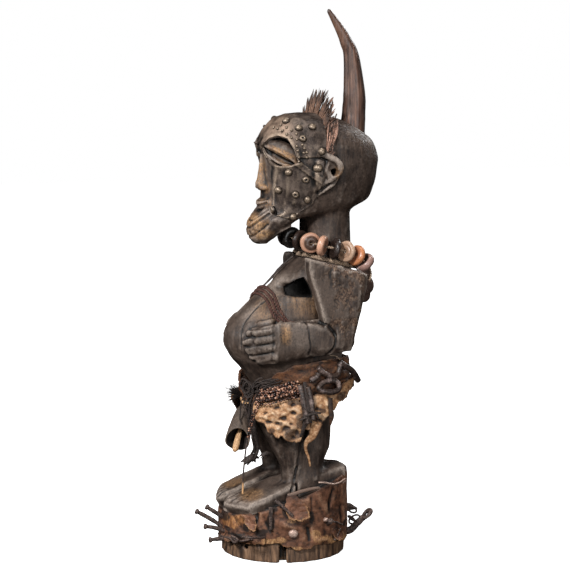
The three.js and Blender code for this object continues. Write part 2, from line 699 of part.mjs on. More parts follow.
function collarCord(grow) {
  const turns = range(-90, 240, 12);
  const seat = COLLAR_RADIUS + COLLAR_GAP;
  const points = turns.map((turn) => {
    const y = pointOn(NECK, NECK_SQUARE, turn, SHOULDER_FRONT[1], seat).y / SHARE;
    return pointOn(NECK, NECK_SQUARE, turn, shoulderTop(y) + seat / SHARE, seat);
  });
  return solid(bar(points, COLLAR_RADIUS, { sides: 4, steps: 16, joined: true, grow }));
}

// A narrow strap hangs from the collar down the chest.
function chestStrap() {
  const points = [[346, 4], [330, 2.6], [314, 2.6], [300, 2.6]].map(([z, offset], i) => (
    pointOn(TORSO, TORSO_SQUARE, -91 - i, z, offset)));
  const strap = solid(bar(points, 2.2, { sides: 4, steps: 4 }));
  return largestPart(cutAll(strap, [torsoForm(CLEARANCE), ropeLoop(ropePassage()), collarCord(CLEARANCE)]));
}

// The hides hang on one outer form of the hips and thighs.
const HIPS = [
  [70, -60, 72, 74], [100, -62, 76, 75], [120, -62, 82, 74], [136, -61, 88, 71],
  [150, -55, 91, 67], [178, -61, 92, 69], [198, -79, 90, 70],
];
const HIPS_SQUARE = 2.4;
const LEATHER_THICKNESS = 3.4;
const LEATHER_FOLD = 2;
const HIDE_THICKNESS = 3.6;
const HIDE_FOLD = 2.4;
const LEATHER_IN = 6 * CLEARANCE;
const LEATHER_OUT = LEATHER_IN + LEATHER_THICKNESS + LEATHER_FOLD;
const HIDE_IN = LEATHER_OUT + 6 * CLEARANCE;
const HIDE_OUT = HIDE_IN + HIDE_THICKNESS + HIDE_FOLD;
const onHips = (turn, z, offset) => pointOn(HIPS, HIPS_SQUARE, turn, z, offset);

// A hanging skin: its inner and outer faces at each turn, between a top and a bottom edge.
function skinForm({ turns, top, bottom, inside, thick, fold, waves, joined }) {
  const rings = turns.map((turn) => {
    const high = eased(top, turn);
    const low = eased(bottom, turn);
    const wave = (level) => fold * (0.5 + 0.5 * Math.sin((turn * Math.PI * waves) / 180 + level * 2.2));
    const inner = [0, 0.3, 1].map((level) => onHips(turn, mix(low, high, level), inside));
    const outer = [1, 0.5, 0].map((level) => (
      onHips(turn, mix(low, high, level), inside + thick + wave(level))));
    return [...inner, ...outer];
  });
  return solid(loft(rings, joined));
}

const LEATHER_TOP = [[-90, 149], [-40, 172], [0, 184], [90, 192], [180, 184], [220, 172], [270, 149]];
const LEATHER_BOTTOM = [[-90, 139], [0, 136], [90, 141], [180, 136], [270, 139]];

function hipLeather() {
  const form = {
    turns: TORSO_TURNS, top: LEATHER_TOP, bottom: LEATHER_BOTTOM, inside: LEATHER_IN,
    thick: LEATHER_THICKNESS, fold: LEATHER_FOLD, waves: 9, joined: true,
  };
  return skinForm(form);
}

const HIDE_TOP = [
  [-58, 140], [-25, 146], [0, 152], [30, 168], [60, 166], [120, 160], [180, 152], [235, 140],
];
const HIDE_BOTTOM = [
  [-58, 122], [-50, 114], [-30, 95], [-16, 87], [-6, 88], [-1, 104], [4, 96], [8, 108], [18, 113],
  [35, 130], [55, 146], [90, 140], [120, 118], [150, 104], [185, 92], [215, 104], [235, 124],
];

function rawHide() {
  const skin = skinForm({
    turns: range(-58, 235, 22), top: HIDE_TOP, bottom: HIDE_BOTTOM, inside: HIDE_IN,
    thick: HIDE_THICKNESS, fold: HIDE_FOLD, waves: 7, joined: false,
  });
  const tail = limb([onHips(5, 112, HIDE_IN + 3), onHips(3, 92, HIDE_IN + 3),
    onHips(0.6, 70, HIDE_IN + 2), onHips(0.9, 43, HIDE_IN)],
  [[9, 1.6], [6, 1.8], [2.4, 1.8], [1.6, 1.4]], { sides: 6, across: vector(0, 1, 0) });
  return largestPart(skin.add(solid(tail)));
}

// The middle of a round piece that rests on the hides: above the raw hide's edge it lies on the leather.
const HIDE_STEP = 24; // the height over which a piece comes in from the hide to the leather

function onHides(turn, z, radius) {
  const above = Math.min(1, Math.max(0, (z - eased(HIDE_TOP, turn)) / HIDE_STEP));
  const skin = mix(HIDE_OUT, LEATHER_OUT, above * above * (3 - 2 * above));
  return onHips(turn, z, skin + CLEARANCE + radius);
}

// Links of leather-bound iron lie over the hides, as open tubes and as closed rings.
const LINK_TUBES = {
  link_tube_upper: [[-1, 172], [3, 178], [6, 184]],
  link_tube_back: [[31, 196], [47, 180], [62, 161]],
  link_tube_hanging_front: [[-9, 168], [-7, 144], [-2, 112]],
  link_tube_hanging_back: [[-3.5, 165], [-1.6, 144], [1, 117]],
};
const LINK_RINGS = {
  link_ring_lower: [[3, 160], [8, 169], [21, 168], [22, 160], [12, 155]],
  link_ring_upper: [[9, 190], [14, 179], [20, 177], [28, 185], [24, 195], [15, 197]],
};

function linkTube(stations) {
  const points = stations.map(([turn, z]) => onHides(turn, z, LINK_TUBE_RADIUS));
  return solid(bar(points, LINK_TUBE_RADIUS, { sides: 6, steps: 3 }));
}

function linkRing(stations) {
  const points = stations.map(([turn, z]) => onHides(turn, z, LINK_RING_RADIUS));
  return solid(bar(points, LINK_RING_RADIUS, { sides: 4, steps: 10, joined: true }));
}

// Strings of beads: rings of alternating size along a strand.
const BEAD_STRANDS = 3;
const BEADS_IN_STRAND = 6;
const BEADS_IN_STRING = 8;

function beadRow(spots, count) {
  const points = spots.map(([turn, z]) => onHides(turn, z, BEAD_RADIUS));
  const steps = 2 * count;
  const taper = (t) => (Math.round(t * steps) % 2 === 1 ? 1 : 0.5);
  return solid(bar(points, BEAD_RADIUS, { sides: 4, steps, taper }));
}

function beadStrand(index) {
  const drop = index * (2 * BEAD_RADIUS + CLEARANCE);
  return beadRow([[-50, 158], [-38, 161], [-27, 166], [-17, 170]]
    .map(([turn, z]) => [turn, z - drop]), BEADS_IN_STRAND);
}

const BEAD_STRING = [[-53, 136], [-57, 122], [-60, 108], [-61, 88]];
const beadString = () => beadRow(BEAD_STRING, BEADS_IN_STRING);

// The bell hangs askew in front of the knees, with its clapper on the cord through its crown.
const BELL_TOP = [-4, -58, 122];
const BELL_LEAN = vector(0.27, -0.33, -0.9).normalize();

function bellFrame() {
  const turn = new THREE.Quaternion().setFromUnitVectors(vector(0, -1, 0), BELL_LEAN);
  return new THREE.Matrix4().compose(onFigure(...BELL_TOP), turn, vector(1, 1, 1));
}

// Distances along the axis from the crown, with the bell's outer radius there.
const BELL_PROFILE = [[0, 0.5], [0.1, 0.65], [0.7, 0.92], [1, 1]];

function bellForm() {
  const bore = THONG_RADIUS + 2 * CLEARANCE;
  const outer = BELL_PROFILE.map(([t, size]) => [size * BELL_MOUTH_RADIUS, t * BELL_LENGTH]);
  const inner = outer.slice(1).map(([radius, depth]) => (
    [radius - BELL_WALL, Math.max(depth, BELL_WALL * 1.3)]));
  inner.at(-1)[1] = BELL_LENGTH;
  const profile = [[bore, 0], ...outer, ...inner.reverse(), [bore, BELL_WALL * 1.3], [bore, 0]];
  const spots = profile.map(([radius, depth]) => new THREE.Vector2(radius, -depth));
  const turned = new THREE.LatheGeometry(spots, 10);
  turned.applyMatrix4(bellFrame());
  return outwardSolid(turned);
}

function outwardSolid(geometry) {
  const body = solid(geometry);
  if (body.volume() > 0) return body;
  const copy = geometry.clone();
  copy.index.array.reverse();
  return solid(copy);
}

const alongBell = (depth) => vector(0, -depth, 0).applyMatrix4(bellFrame());
const CLAPPER_TOP = 0.36 * BELL_LENGTH;

function clapperForm() {
  const depths = [CLAPPER_TOP, CLAPPER_TOP + 6, BELL_LENGTH + 4, BELL_LENGTH + 8];
  const halves = [[2.4, 2.4], [3.6, 3], [4.4, 3.2], [2.2, 2]];
  return solid(limb(depths.map(alongBell), halves, { sides: 6, square: 2.2 }));
}

function bellCord() {
  const tied = onHips(-86, 136.6, LEATHER_OUT - LEATHER_FOLD - 0.5 + THONG_RADIUS);
  const points = [tied, onFigure(-1, -59, 130), alongBell(-2), alongBell(3),
    alongBell(CLAPPER_TOP - CLEARANCE)];
  return solid(bar(points, THONG_RADIUS, { sides: 4, steps: 8 }));
}

// Small things hang from the front of the leather, close in front of it.
const FRONT_OFFSET = LEATHER_OUT + CLEARANCE;
const onFront = (turn, z, radius) => onHips(turn, z, FRONT_OFFSET + radius);

// A thong hangs free from the leather to just above the left foot.
const THONG_LINE = [[43, -67, 108], [47, -74, 74], [50, -79, 40], [51, -81, 6]];

function hangingThong() {
  const tied = [[-70, 141, 0], [-69, 134, 1]].map(([turn, z, out]) => (
    onHips(turn, z, HIDE_OUT + CLEARANCE + THONG_RADIUS + out)));
  const points = [...tied, ...THONG_LINE.map((spot) => onFigure(...spot))];
  const length = new THREE.CatmullRomCurve3(points).getLength();
  const steps = Math.round(length / (6 * THONG_RADIUS));
  return solid(bar(points, THONG_RADIUS, { sides: 8, steps }));
}

// A bundle of bristles stands forward out of the leather, bound at its root.
function hairTuft() {
  const root = onFront(-90, 142, 0);
  const tip = root.clone().add(vector(1, -17, 15).multiplyScalar(SHARE));
  const points = [0, 0.3, 1].map((t) => root.clone().lerp(tip, t));
  return solid(limb(points, [[3.4, 3], [5, 4.2], [6.5, 2.4]], { sides: 6, square: 2 }));
}

function waistLoop() {
  const spots = [[-84, 156], [-80, 164], [-74, 170], [-66, 164], [-68, 152], [-76, 148]];
  const points = spots.map(([turn, z]) => onFront(turn, z, 3));
  return solid(bar(points, 2, { sides: 5, steps: 10, joined: true }));
}

function paleBar() {
  const points = [[-82, 139], [-76, 135], [-70, 136]].map(([turn, z]) => onFront(turn, z, 2.5));
  return solid(bar(points, 2, { sides: 5, steps: 3 }));
}

function blackStrip() {
  const places = [[30, -62, 136], [30, -61, 112], [29, -57, 90], [29, -53, 66], [30, -62, 48]];
  const points = places.map((spot) => onFigure(...spot));
  const halves = [[3.5, 1.6], [3.5, 1.6], [4, 1.6], [3, 1.4], [0.6, 0.8]];
  return solid(limb(points, halves, { sides: 5, square: 2.4 }));
}

function leatherStrip() {
  const places = [[8, 140], [12, 124], [13, 107]];
  const points = places.map(([turn, z]) => onHips(turn, z, HIDE_OUT + 3));
  return solid(limb(points, [[6, 1.6], [5, 1.8], [2, 1.4]], { sides: 6, across: vector(0, 1, 0) }));
}

// The leather wrap of the plinth has a ragged lower edge, and its upper edge follows the slope.
const WRAP_IN = PLINTH_RADIUS + CLEARANCE;
const WRAP_FOLD = 2.6;
const WRAP_DROP = 1.5; // of its upper edge below the plinth's top, clear of the toes
const WRAP_OUT = WRAP_IN + WRAP_THICKNESS + WRAP_FOLD;
const wrapFold = (angle, phase) => WRAP_FOLD * (0.5 + 0.5 * Math.sin(7 * angle + phase));
const wrapRadius = (angle) => WRAP_IN + WRAP_THICKNESS + wrapFold(angle, 1); // halfway up

function baseWrap() {
  const rings = PLINTH_TURNS.map((angle) => {
    const ragged = Math.sin(5 * angle + 0.6) + 0.7 * Math.sin(11 * angle);
    const bottom = WRAP_BOTTOM + 1.5 * ragged;
    const edge = (radius) => slopeTop(Math.sin(angle) * radius) - WRAP_DROP;
    const lip = WRAP_IN + 0.7 * WRAP_THICKNESS;
    const hem = WRAP_IN + WRAP_THICKNESS + 0.5 * wrapFold(angle, 0);
    return [
      roundPlinth(angle, WRAP_IN, bottom), roundPlinth(angle, WRAP_IN, edge(WRAP_IN)),
      roundPlinth(angle, lip, edge(lip)),
      roundPlinth(angle, wrapRadius(angle), mix(bottom, edge(WRAP_IN), 0.5)),
      roundPlinth(angle, hem, bottom),
    ];
  });
  return solid(loft(rings, true));
}

// Iron driven into the plinth: each piece runs from its tip, outside, into the wood.
const NAILS = { // tip and the spot where it enters the wood, in the plinth's own heights
  nail_front_upper: [[0, -136, 67], [0, -92, 37]],
  nail_front_middle: [[2, -121, 73], [2, -92, 53]],
  nail_front_lower: [[12, -127, 46], [11, -91, 34]],
  nail_front_stub: [[20, -122, 27], [18, -90, 24]],
  nail_left: [[104, 36, 62], [84, 38, 52]],
};

function nailForm([tip, entry], grow) {
  const [end, start] = [vector(...tip), vector(...entry)];
  const inward = start.clone().sub(end).normalize();
  const points = [end, start, start.clone().addScaledVector(inward, NAIL_DEPTH)];
  const halves = [0.45, 1, 0.7].map((size) => [size * NAIL_RADIUS, size * NAIL_RADIUS]);
  return solid(limb(points, halves, { sides: 4, square: 2, grow }));
}

// A flat iron blade and a hasp with an eye stand out of the plinth's back.
const BLADE_ANGLE = (78 * Math.PI) / 180;
const HASP_ANGLE = (72 * Math.PI) / 180;

function bladeForm(grow) {
  const places = [[PLINTH_RADIUS - NAIL_DEPTH, 56], [WRAP_OUT, 58], [WRAP_OUT + 15, 55]];
  const points = places.map(([radius, height]) => roundPlinth(BLADE_ANGLE, radius, height));
  const halves = [[1.5, 9], [1.5, 9], [0.8, 1]];
  return solid(limb(points, halves, { sides: 4, square: 6, across: vector(1, 0, 0), grow }));
}

function haspForm(grow) {
  const places = [[PLINTH_RADIUS - NAIL_DEPTH, 22], [WRAP_OUT + 2, 25], [WRAP_OUT + 24, 46]];
  const points = places.map(([radius, height]) => roundPlinth(HASP_ANGLE, radius, height));
  const strap = limb(points, [[4, 1.5], [4, 1.5], [4.5, 1.5]], {
    sides: 4, square: 6, across: vector(1, 0, 0), grow,
  });
  const centre = roundPlinth(HASP_ANGLE, WRAP_OUT + 28, 50);
  const eye = range(0, 300, 6).map((turn) => {
    const angle = (turn * Math.PI) / 180;
    const reach = [7 * Math.cos(angle), 5.6 * Math.sin(angle), 5.5 * Math.sin(angle)];
    return centre.clone().add(vector(...reach));
  });
  return solid(strap).add(solid(bar(eye, 1.9 + grow, { sides: 4, steps: 7, joined: true })));
}

// A wire staple stands out of the wrap at the front left, with both of its ends in the wood.
function wireLoop(grow) {
  const places = [[-47, -NAIL_DEPTH, 36], [-48, 12, 40], [-47, 34, 46], [-40, 36, 46], [-36, 12, 41],
    [-36, -NAIL_DEPTH, 38]];
  const points = places.map(([degrees, out, height]) => (
    roundPlinth((degrees * Math.PI) / 180, PLINTH_RADIUS + out, height)));
  return solid(bar(points, 1.5, { sides: 4, steps: 8, grow }));
}

// A nailed bar lies on the plinth's edge beside the left foot, and a strip stands on the wrap.
function edgeBar() {
  const ends = [[82, -22, 12], [80, 28, 3]].map(([x, y, rise]) => vector(x, y, slopeTop(y) + rise));
  return solid(limb(ends, [[3.5, 1.6], [3.5, 1.6]], { sides: 4, square: 6, across: vector(1, 0, 0) }));
}

const STRIP_ANGLE = (-30 * Math.PI) / 180;
const STRIP_HALF_THICKNESS = 1.1;

function wrapStrip() {
  const radius = wrapRadius(STRIP_ANGLE) + CLEARANCE + STRIP_HALF_THICKNESS;
  const points = [86, 52].map((height) => roundPlinth(STRIP_ANGLE, radius, height));
  const across = vector(-Math.sin(STRIP_ANGLE), Math.cos(STRIP_ANGLE), 0);
  const halves = [[4, STRIP_HALF_THICKNESS], [3, STRIP_HALF_THICKNESS]];
  return solid(limb(points, halves, { sides: 4, square: 6, across }));
}

const DISC_ANGLE = (-11 * Math.PI) / 180;

function discTack(grow) {
  const places = [[PLINTH_RADIUS - NAIL_DEPTH, 1.4], [WRAP_OUT + CLEARANCE, 1.4],
    [WRAP_OUT + CLEARANCE + 0.1, 6.5], [WRAP_OUT + CLEARANCE + 3, 4]];
  const points = places.map(([radius]) => roundPlinth(DISC_ANGLE, radius, 46));
  const halves = places.map(([, half]) => [half, half]);
  return solid(limb(points, halves, { sides: 8, square: 2, across: vector(0, 0, 1), grow }));
}

const IRONWORK = {
  ...Object.fromEntries(Object.entries(NAILS).map(([name, ends]) => [
    name, (grow) => nailForm(ends, grow)])),
  iron_blade: bladeForm,
  iron_hasp: haspForm,
  wire_loop: wireLoop,
  round_tack: discTack,
};
const ironHoles = () => Object.values(IRONWORK).map((form) => form(CLEARANCE));

const group = new THREE.Group();
const finish = (colour, roughness, metalness = 0) => new THREE.MeshStandardMaterial({
  color: colour, roughness, metalness,
});
const WOOD = finish('#4a3d35', 0.6);
const HORN = finish('#5d4a42', 0.45);
const METAL = finish('#6d6258', 0.45, 0.8);
const FEATHER = finish('#8a6a58', 0.8);
const SEED = finish('#8f6a50', 0.35);
const DARK_CORD = finish('#3a2c24', 0.85);
const LEATHER = finish('#6e4433', 0.75);
const RAW_HIDE = finish('#d0a070', 0.85);
const IRON = finish('#4b433f', 0.6, 0.6);
const BEAD = finish('#7a4e3c', 0.4);
const BELL_WOOD = finish('#6b5c50', 0.6);

function addPiece(name, body, material) {
  const mesh = new THREE.Mesh(geometryOf(body), material);
  mesh.name = name;
  group.add(mesh);
  return mesh;
}

addPiece('carved_figure', largestPart(cutAll(carvedFigure(), ironHoles())), WOOD);
addPiece('horn', hornForm(0), HORN);
addPiece('face_sheet', tackedSheet(), METAL);
addPiece('breast_rope', ropeLoop(ropeSection()), DARK_CORD);
addPiece('feather_crest', featherCrest(), FEATHER);
addPiece('necklace_cord', necklaceCord(0), DARK_CORD);
SEED_SPANS.forEach((span, i) => {
  addPiece(`seed_${String(i + 1).padStart(2, '0')}`, seedForm(span), SEED);
});
addPiece('collar_cord', collarCord(0), DARK_CORD);
addPiece('chest_strap', chestStrap(), LEATHER);
addPiece('hip_leather', hipLeather(), LEATHER);
addPiece('raw_hide', rawHide(), RAW_HIDE);
for (const [name, spots] of Object.entries(LINK_TUBES)) addPiece(name, linkTube(spots), IRON);
for (const [name, spots] of Object.entries(LINK_RINGS)) addPiece(name, linkRing(spots), IRON);
for (let i = 0; i < BEAD_STRANDS; i += 1) addPiece(`bead_strand_${i + 1}`, beadStrand(i), BEAD);
addPiece('bead_string', beadString(), BEAD);
addPiece('bell', bellForm(), BELL_WOOD);
addPiece('bell_clapper', clapperForm(), finish('#c9a27a', 0.7));
addPiece('bell_cord', bellCord(), DARK_CORD);
addPiece('hanging_thong', hangingThong(), LEATHER);
addPiece('hair_tuft', hairTuft(), finish('#2c2320', 0.9));
addPiece('waist_loop', waistLoop(), DARK_CORD);
addPiece('pale_bar', paleBar(), finish('#a98f74', 0.7));
addPiece('black_strip', blackStrip(), DARK_CORD);
addPiece('leather_strip', leatherStrip(), LEATHER);
addPiece('base_wrap', largestPart(cutAll(baseWrap(), ironHoles())), LEATHER);
addPiece('edge_bar', edgeBar(), IRON);
addPiece('wrap_strip', wrapStrip(), IRON);
for (const [name, form] of Object.entries(IRONWORK)) addPiece(name, form(0), IRON);

export default group;
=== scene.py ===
# A Songye power figure of dark carved wood on a pale studio floor: horn, beaten metal and tacks on the
# head, a feather crest, seeds, ropes, hides, links, beads, a bell, and a plinth wrapped in nailed leather.
# The forms are worked out in millimetres and turned into metres when a mesh is made.
import math

import bpy
import numpy as np
import openvdb as vdb
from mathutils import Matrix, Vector
from mathutils.bvhtree import BVHTree


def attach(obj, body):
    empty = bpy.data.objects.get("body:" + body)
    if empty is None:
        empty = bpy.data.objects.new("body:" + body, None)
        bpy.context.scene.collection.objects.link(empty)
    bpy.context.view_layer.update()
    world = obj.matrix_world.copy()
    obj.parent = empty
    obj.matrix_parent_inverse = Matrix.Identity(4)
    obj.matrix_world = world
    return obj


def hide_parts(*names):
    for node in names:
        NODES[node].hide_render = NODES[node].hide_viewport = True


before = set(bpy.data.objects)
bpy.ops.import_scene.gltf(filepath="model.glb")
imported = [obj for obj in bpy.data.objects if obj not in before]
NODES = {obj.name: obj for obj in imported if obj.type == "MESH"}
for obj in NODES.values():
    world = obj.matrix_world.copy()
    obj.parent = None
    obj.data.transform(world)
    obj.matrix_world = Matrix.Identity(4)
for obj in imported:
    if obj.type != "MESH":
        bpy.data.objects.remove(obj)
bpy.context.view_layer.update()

MM = 0.001
PLINTH_TOP = 94.0  # heights in the tables below start here, as the carving's own do
PLINTH_RADIUS = 92.0
PLINTH_SLOPE = math.radians(17)


def spot(x, y, z):
    """A point of the figure in millimetres, with z above the plinth's top."""
    return np.array((x, y, z + PLINTH_TOP), float)


def spots_of(rows):
    return [spot(*row) for row in rows]


def mirrored(points):
    """Points brought over to the figure's left side."""
    return np.abs(points * (1, 0, 0)) + points * (0, 1, 1)


def mixed(a, b, t):
    return a + (b - a) * t


def eased(t):
    t = np.clip(t, 0.0, 1.0)
    return t * t * (3 - 2 * t)


def unit(v):
    v = np.asarray(v, float)
    return v / np.maximum(np.linalg.norm(v, axis=-1, keepdims=True), 1e-9)


def columns(rows):
    return np.array(rows, float).T


def table_at(table, turn):
    """The value at a turn between a table's rows, eased from row to row."""
    rows = np.array(table, float)
    turn = np.clip(turn, rows[0, 0], rows[-1, 0])
    after = np.clip(np.searchsorted(rows[:, 0], turn), 1, len(rows) - 1)
    low, high = rows[after - 1], rows[after]
    t = eased((turn - low[..., 0]) / (high[..., 0] - low[..., 0]))
    return mixed(low[..., 1], high[..., 1], t)


def noise(points, size, seed):
    """Smooth noise from -1 to 1, with a bump about every size millimetres."""
    cells = 32
    lattice = np.random.default_rng(seed).uniform(-1, 1, (cells,) * 3).astype(np.float32)
    where = np.asarray(points, np.float32) / np.asarray(size, np.float32)
    base = np.floor(where).astype(np.int32)
    t = eased(where - base)
    total = np.zeros(where.shape[:-1], np.float32)
    for corner in np.ndindex(2, 2, 2):
        weight = np.prod(np.where(corner, t, 1 - t), axis=-1)
        total += weight * lattice[tuple(np.moveaxis((base + corner) % cells, -1, 0))]
    return total


def shaken(points, sizes, seed):
    """A noise for each axis of some points, of one size or of three."""
    each = enumerate(np.broadcast_to(sizes, 3))
    return np.stack([noise(points, size, seed + axis) for axis, size in each], axis=-1)


def circle(sides):
    return np.linspace(0, 2 * math.pi, sides, endpoint=False)


# Curves, tubes and lofts
SPAN_STEPS = 24  # points between two given ones before they are spaced evenly
TWIST_STEPS = 8  # points of a strand for each of its turns


def length_of(path):
    return np.linalg.norm(np.diff(path, axis=0), axis=1).sum()


def places_along(line, stations, wanted):
    """Places on a line whose points stand at some stations, at the stations that are wanted."""
    return np.stack([np.interp(wanted, stations, line[:, axis]) for axis in range(3)], axis=1)


def varied(count, shares, values):
    """Values for count points of a line, from those at some shares of its length."""
    return np.interp(np.linspace(0, 1, count), shares, values)


def curve_through(points, count, joined=False):
    """Evenly spaced points on a smooth curve through the given ones. A joined curve meets itself."""
    p = np.array(points, float)
    ends = (p[-1:], p[:2]) if joined else ((2 * p[:1] - p[1:2]), (2 * p[-1:] - p[-2:-1]))
    p = np.vstack([ends[0], p, ends[1]])
    spans = len(p) - 3
    t = np.linspace(0, spans, SPAN_STEPS * spans + 1)
    i = np.minimum(t.astype(int), spans - 1)
    u = (t - i)[:, None]
    a, b, c, d = p[i], p[i + 1], p[i + 2], p[i + 3]
    bend = (2 * a - 5 * b + 4 * c - d) * u**2 + (3 * b - a - 3 * c + d) * u**3
    fine = 0.5 * (2 * b + (c - a) * u + bend)
    along = np.append(0, np.cumsum(np.linalg.norm(np.diff(fine, axis=0), axis=1)))
    even = np.linspace(0, along[-1], count, endpoint=not joined)
    return places_along(fine, along, even)


def directions(path, joined=False):
    if joined:
        return unit(np.roll(path, -1, axis=0) - np.roll(path, 1, axis=0))
    return unit(np.gradient(path, axis=0))


def carried_frames(path, joined=False, first=(0, 0, 1)):
    """Two vectors across the path at each point, turned along it without twist."""
    ahead = directions(path, joined)
    side = np.cross(ahead[0], first)
    if np.linalg.norm(side) < 0.2:
        side = np.cross(ahead[0], (1, 0, 0))
    sides = [unit(side)]
    for direction in ahead[1:]:
        sides.append(unit(sides[-1] - direction * np.dot(sides[-1], direction)))
    sides = np.array(sides)
    return sides, np.cross(ahead, sides)


def spokes(place, axis, sides):
    """The angles of places round an axis, and their directions out of it."""
    across, over = carried_frames(np.array([place, place + axis]))
    angle = circle(sides)
    return angle, np.cos(angle)[:, None] * across[0] + np.sin(angle)[:, None] * over[0]


def folded(inner, outer):
    """Rows that run along one side of a skin and back along the other."""
    return np.concatenate([inner, outer[:, ::-1]], axis=1)


def skin_of(rings, joined=False):
    """Points and faces of a skin over rings of equally many points."""
    rings = np.asarray(rings, float)
    count, sides = rings.shape[:2]
    points = rings.reshape(-1, 3)
    row = np.arange(count if joined else count - 1)[:, None] * sides
    i = np.arange(sides)[None, :]
    onward = (row + sides) % (count * sides)
    faces = np.stack([row + i, row + (i + 1) % sides, onward + (i + 1) % sides, onward + i], axis=-1)
    faces = faces.reshape(-1, 4).tolist()
    if not joined:
        faces.append(list(range(sides))[::-1])
        faces.append([(count - 1) * sides + k for k in range(sides)])
    return points, faces


def tube(path, radius, sides=8, joined=False, flat=1.0, first=(0, 0, 1)):
    """A round or flattened tube along a path. The radius may be one number or one for each point."""
    path = np.asarray(path, float)
    across, over = carried_frames(path, joined, first)
    radius = np.broadcast_to(np.asarray(radius, float), (len(path),))
    angle = circle(sides)[None, :]
    wide = np.cos(angle)[..., None] * across[:, None, :]
    thick = np.sin(angle)[..., None] * over[:, None, :] * flat
    rings = path[:, None, :] + (wide + thick) * radius[:, None, None]
    return skin_of(rings, joined)


def joined_parts(parts):
    """Several (points, faces) as one."""
    points, faces, start = [], [], 0
    for some_points, some_faces in parts:
        points.append(np.asarray(some_points, float))
        faces.extend([[start + i for i in face] for face in some_faces])
        start += len(some_points)
    return np.vstack(points), faces


def twisted(path, radius, strands=2, pitch=8.0, joined=False, sides=6, fuzz=0.0, seed=0):
    """A cord of strands laid round each other along a path, a turn every pitch millimetres."""
    path = np.asarray(path, float)
    length = length_of(path)
    turns = max(1, round(length / pitch))
    count = turns * TWIST_STEPS
    fine = curve_through(path, count, joined)
    across, over = carried_frames(fine, joined)
    parts = []
    for strand in range(strands):
        angle = np.arange(count) * 2 * math.pi * turns / count + strand * 2 * math.pi / strands
        around = np.cos(angle)[:, None] * across + np.sin(angle)[:, None] * over
        line = fine + around * radius * 0.5
        if fuzz:
            line = line + shaken(line, 5, seed) * fuzz
        parts.append(tube(line, radius * 0.55, sides, joined))
    return joined_parts(parts)


# Pieces


def piece(name, form, material, slot, replaced=(), masks=None):
    """A named mesh in the frame, which rides on the figure and stands for its plain solids."""
    points, faces = form
    mesh = bpy.data.meshes.new(name)
    mesh.from_pydata((np.asarray(points) * MM).tolist(), [], [list(map(int, f)) for f in faces])
    mesh.validate()
    mesh.polygons.foreach_set("use_smooth", [True] * len(mesh.polygons))
    for mask, values in (masks or {}).items():
        mesh.attributes.new(mask, "FLOAT", "POINT").data.foreach_set("value", values.astype(np.float32))
    mesh.materials.append(material)
    made = bpy.data.objects.new(name, mesh)
    bpy.context.scene.collection.objects.link(made)
    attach(made, "root")
    if replaced:
        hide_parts(*replaced)
    return made


def surface_tree(made):
    """What finds the nearest spot of a piece, in millimetres."""
    points = np.array([vertex.co for vertex in made.data.vertices]) / MM
    return BVHTree.FromPolygons(points.tolist(), [list(face.vertices) for face in made.data.polygons])


def nearest_spot(tree, point):
    """The nearest spot of a surface, and the direction out of it."""
    place, normal, _, _ = tree.find_nearest(Vector(point))
    return np.array(place), np.array(normal)


def mesh_arrays(node):
    """Points in millimetres and triangles of a CAD node."""
    mesh = NODES[node].data
    mesh.calc_loop_triangles()
    points = np.empty(len(mesh.vertices) * 3, np.float32)
    mesh.vertices.foreach_get("co", points)
    corners = np.empty(len(mesh.loop_triangles) * 3, np.int32)
    mesh.loop_triangles.foreach_get("vertices", corners)
    return points.reshape(-1, 3) / np.float32(MM), corners.reshape(-1, 3).astype(np.uint32)


# The camera stands where the photograph was taken from, a little above the figure's middle.
VIEW_TURN = math.radians(70)
VIEW_DISTANCE = 3.0
VIEW_HEIGHT = 0.82
LOOK_AT = Vector((0, 0, 0.397))
IMAGE_SIDE = 570
FOCAL_PIXELS = 2055
SIDE_SHIFT = 2.2 / IMAGE_SIDE


def add_camera():
    data = bpy.data.cameras.new("camera")
    data.sensor_width = 36
    data.lens = FOCAL_PIXELS * data.sensor_width / IMAGE_SIDE
    data.shift_x = SIDE_SHIFT
    camera = bpy.data.objects.new("camera", data)
    camera.location = (
        VIEW_DISTANCE * math.sin(VIEW_TURN), -VIEW_DISTANCE * math.cos(VIEW_TURN), VIEW_HEIGHT,
    )
    camera.rotation_euler = (LOOK_AT - camera.location).to_track_quat("-Z", "Y").to_euler()
    bpy.context.scene.collection.objects.link(camera)
    bpy.context.scene.camera = camera


# Soft lamps: place and aim in metres, watts, and the width of the lamp
LAMPS = {
    "key": ((1.9, -2.1, 2.3), (0, 0, 0.45), 138, 0.5),
    "front": ((-0.8, -2.6, 1.3), (0, 0, 0.45), 34, 0.9),
    "fill": ((3.1, 0.3, 0.9), (0, 0, 0.35), 46, 2.0),
    "rear": ((-1.2, 2.4, 1.9), (0, 0, 0.45), 36, 0.9),
    "top": ((0.2, 0.1, 2.9), (0, 0, 0.4), 22, 0.7),
}


def add_lamp(name, place, aim, watts, width):
    data = bpy.data.lights.new(name, "AREA")
    data.energy = watts
    data.shape = "DISK"
    data.size = width
    lamp = bpy.data.objects.new(name, data)
    lamp.location = place
    lamp.rotation_euler = (Vector(aim) - Vector(place)).to_track_quat("-Z", "Y").to_euler()
    bpy.context.scene.collection.objects.link(lamp)


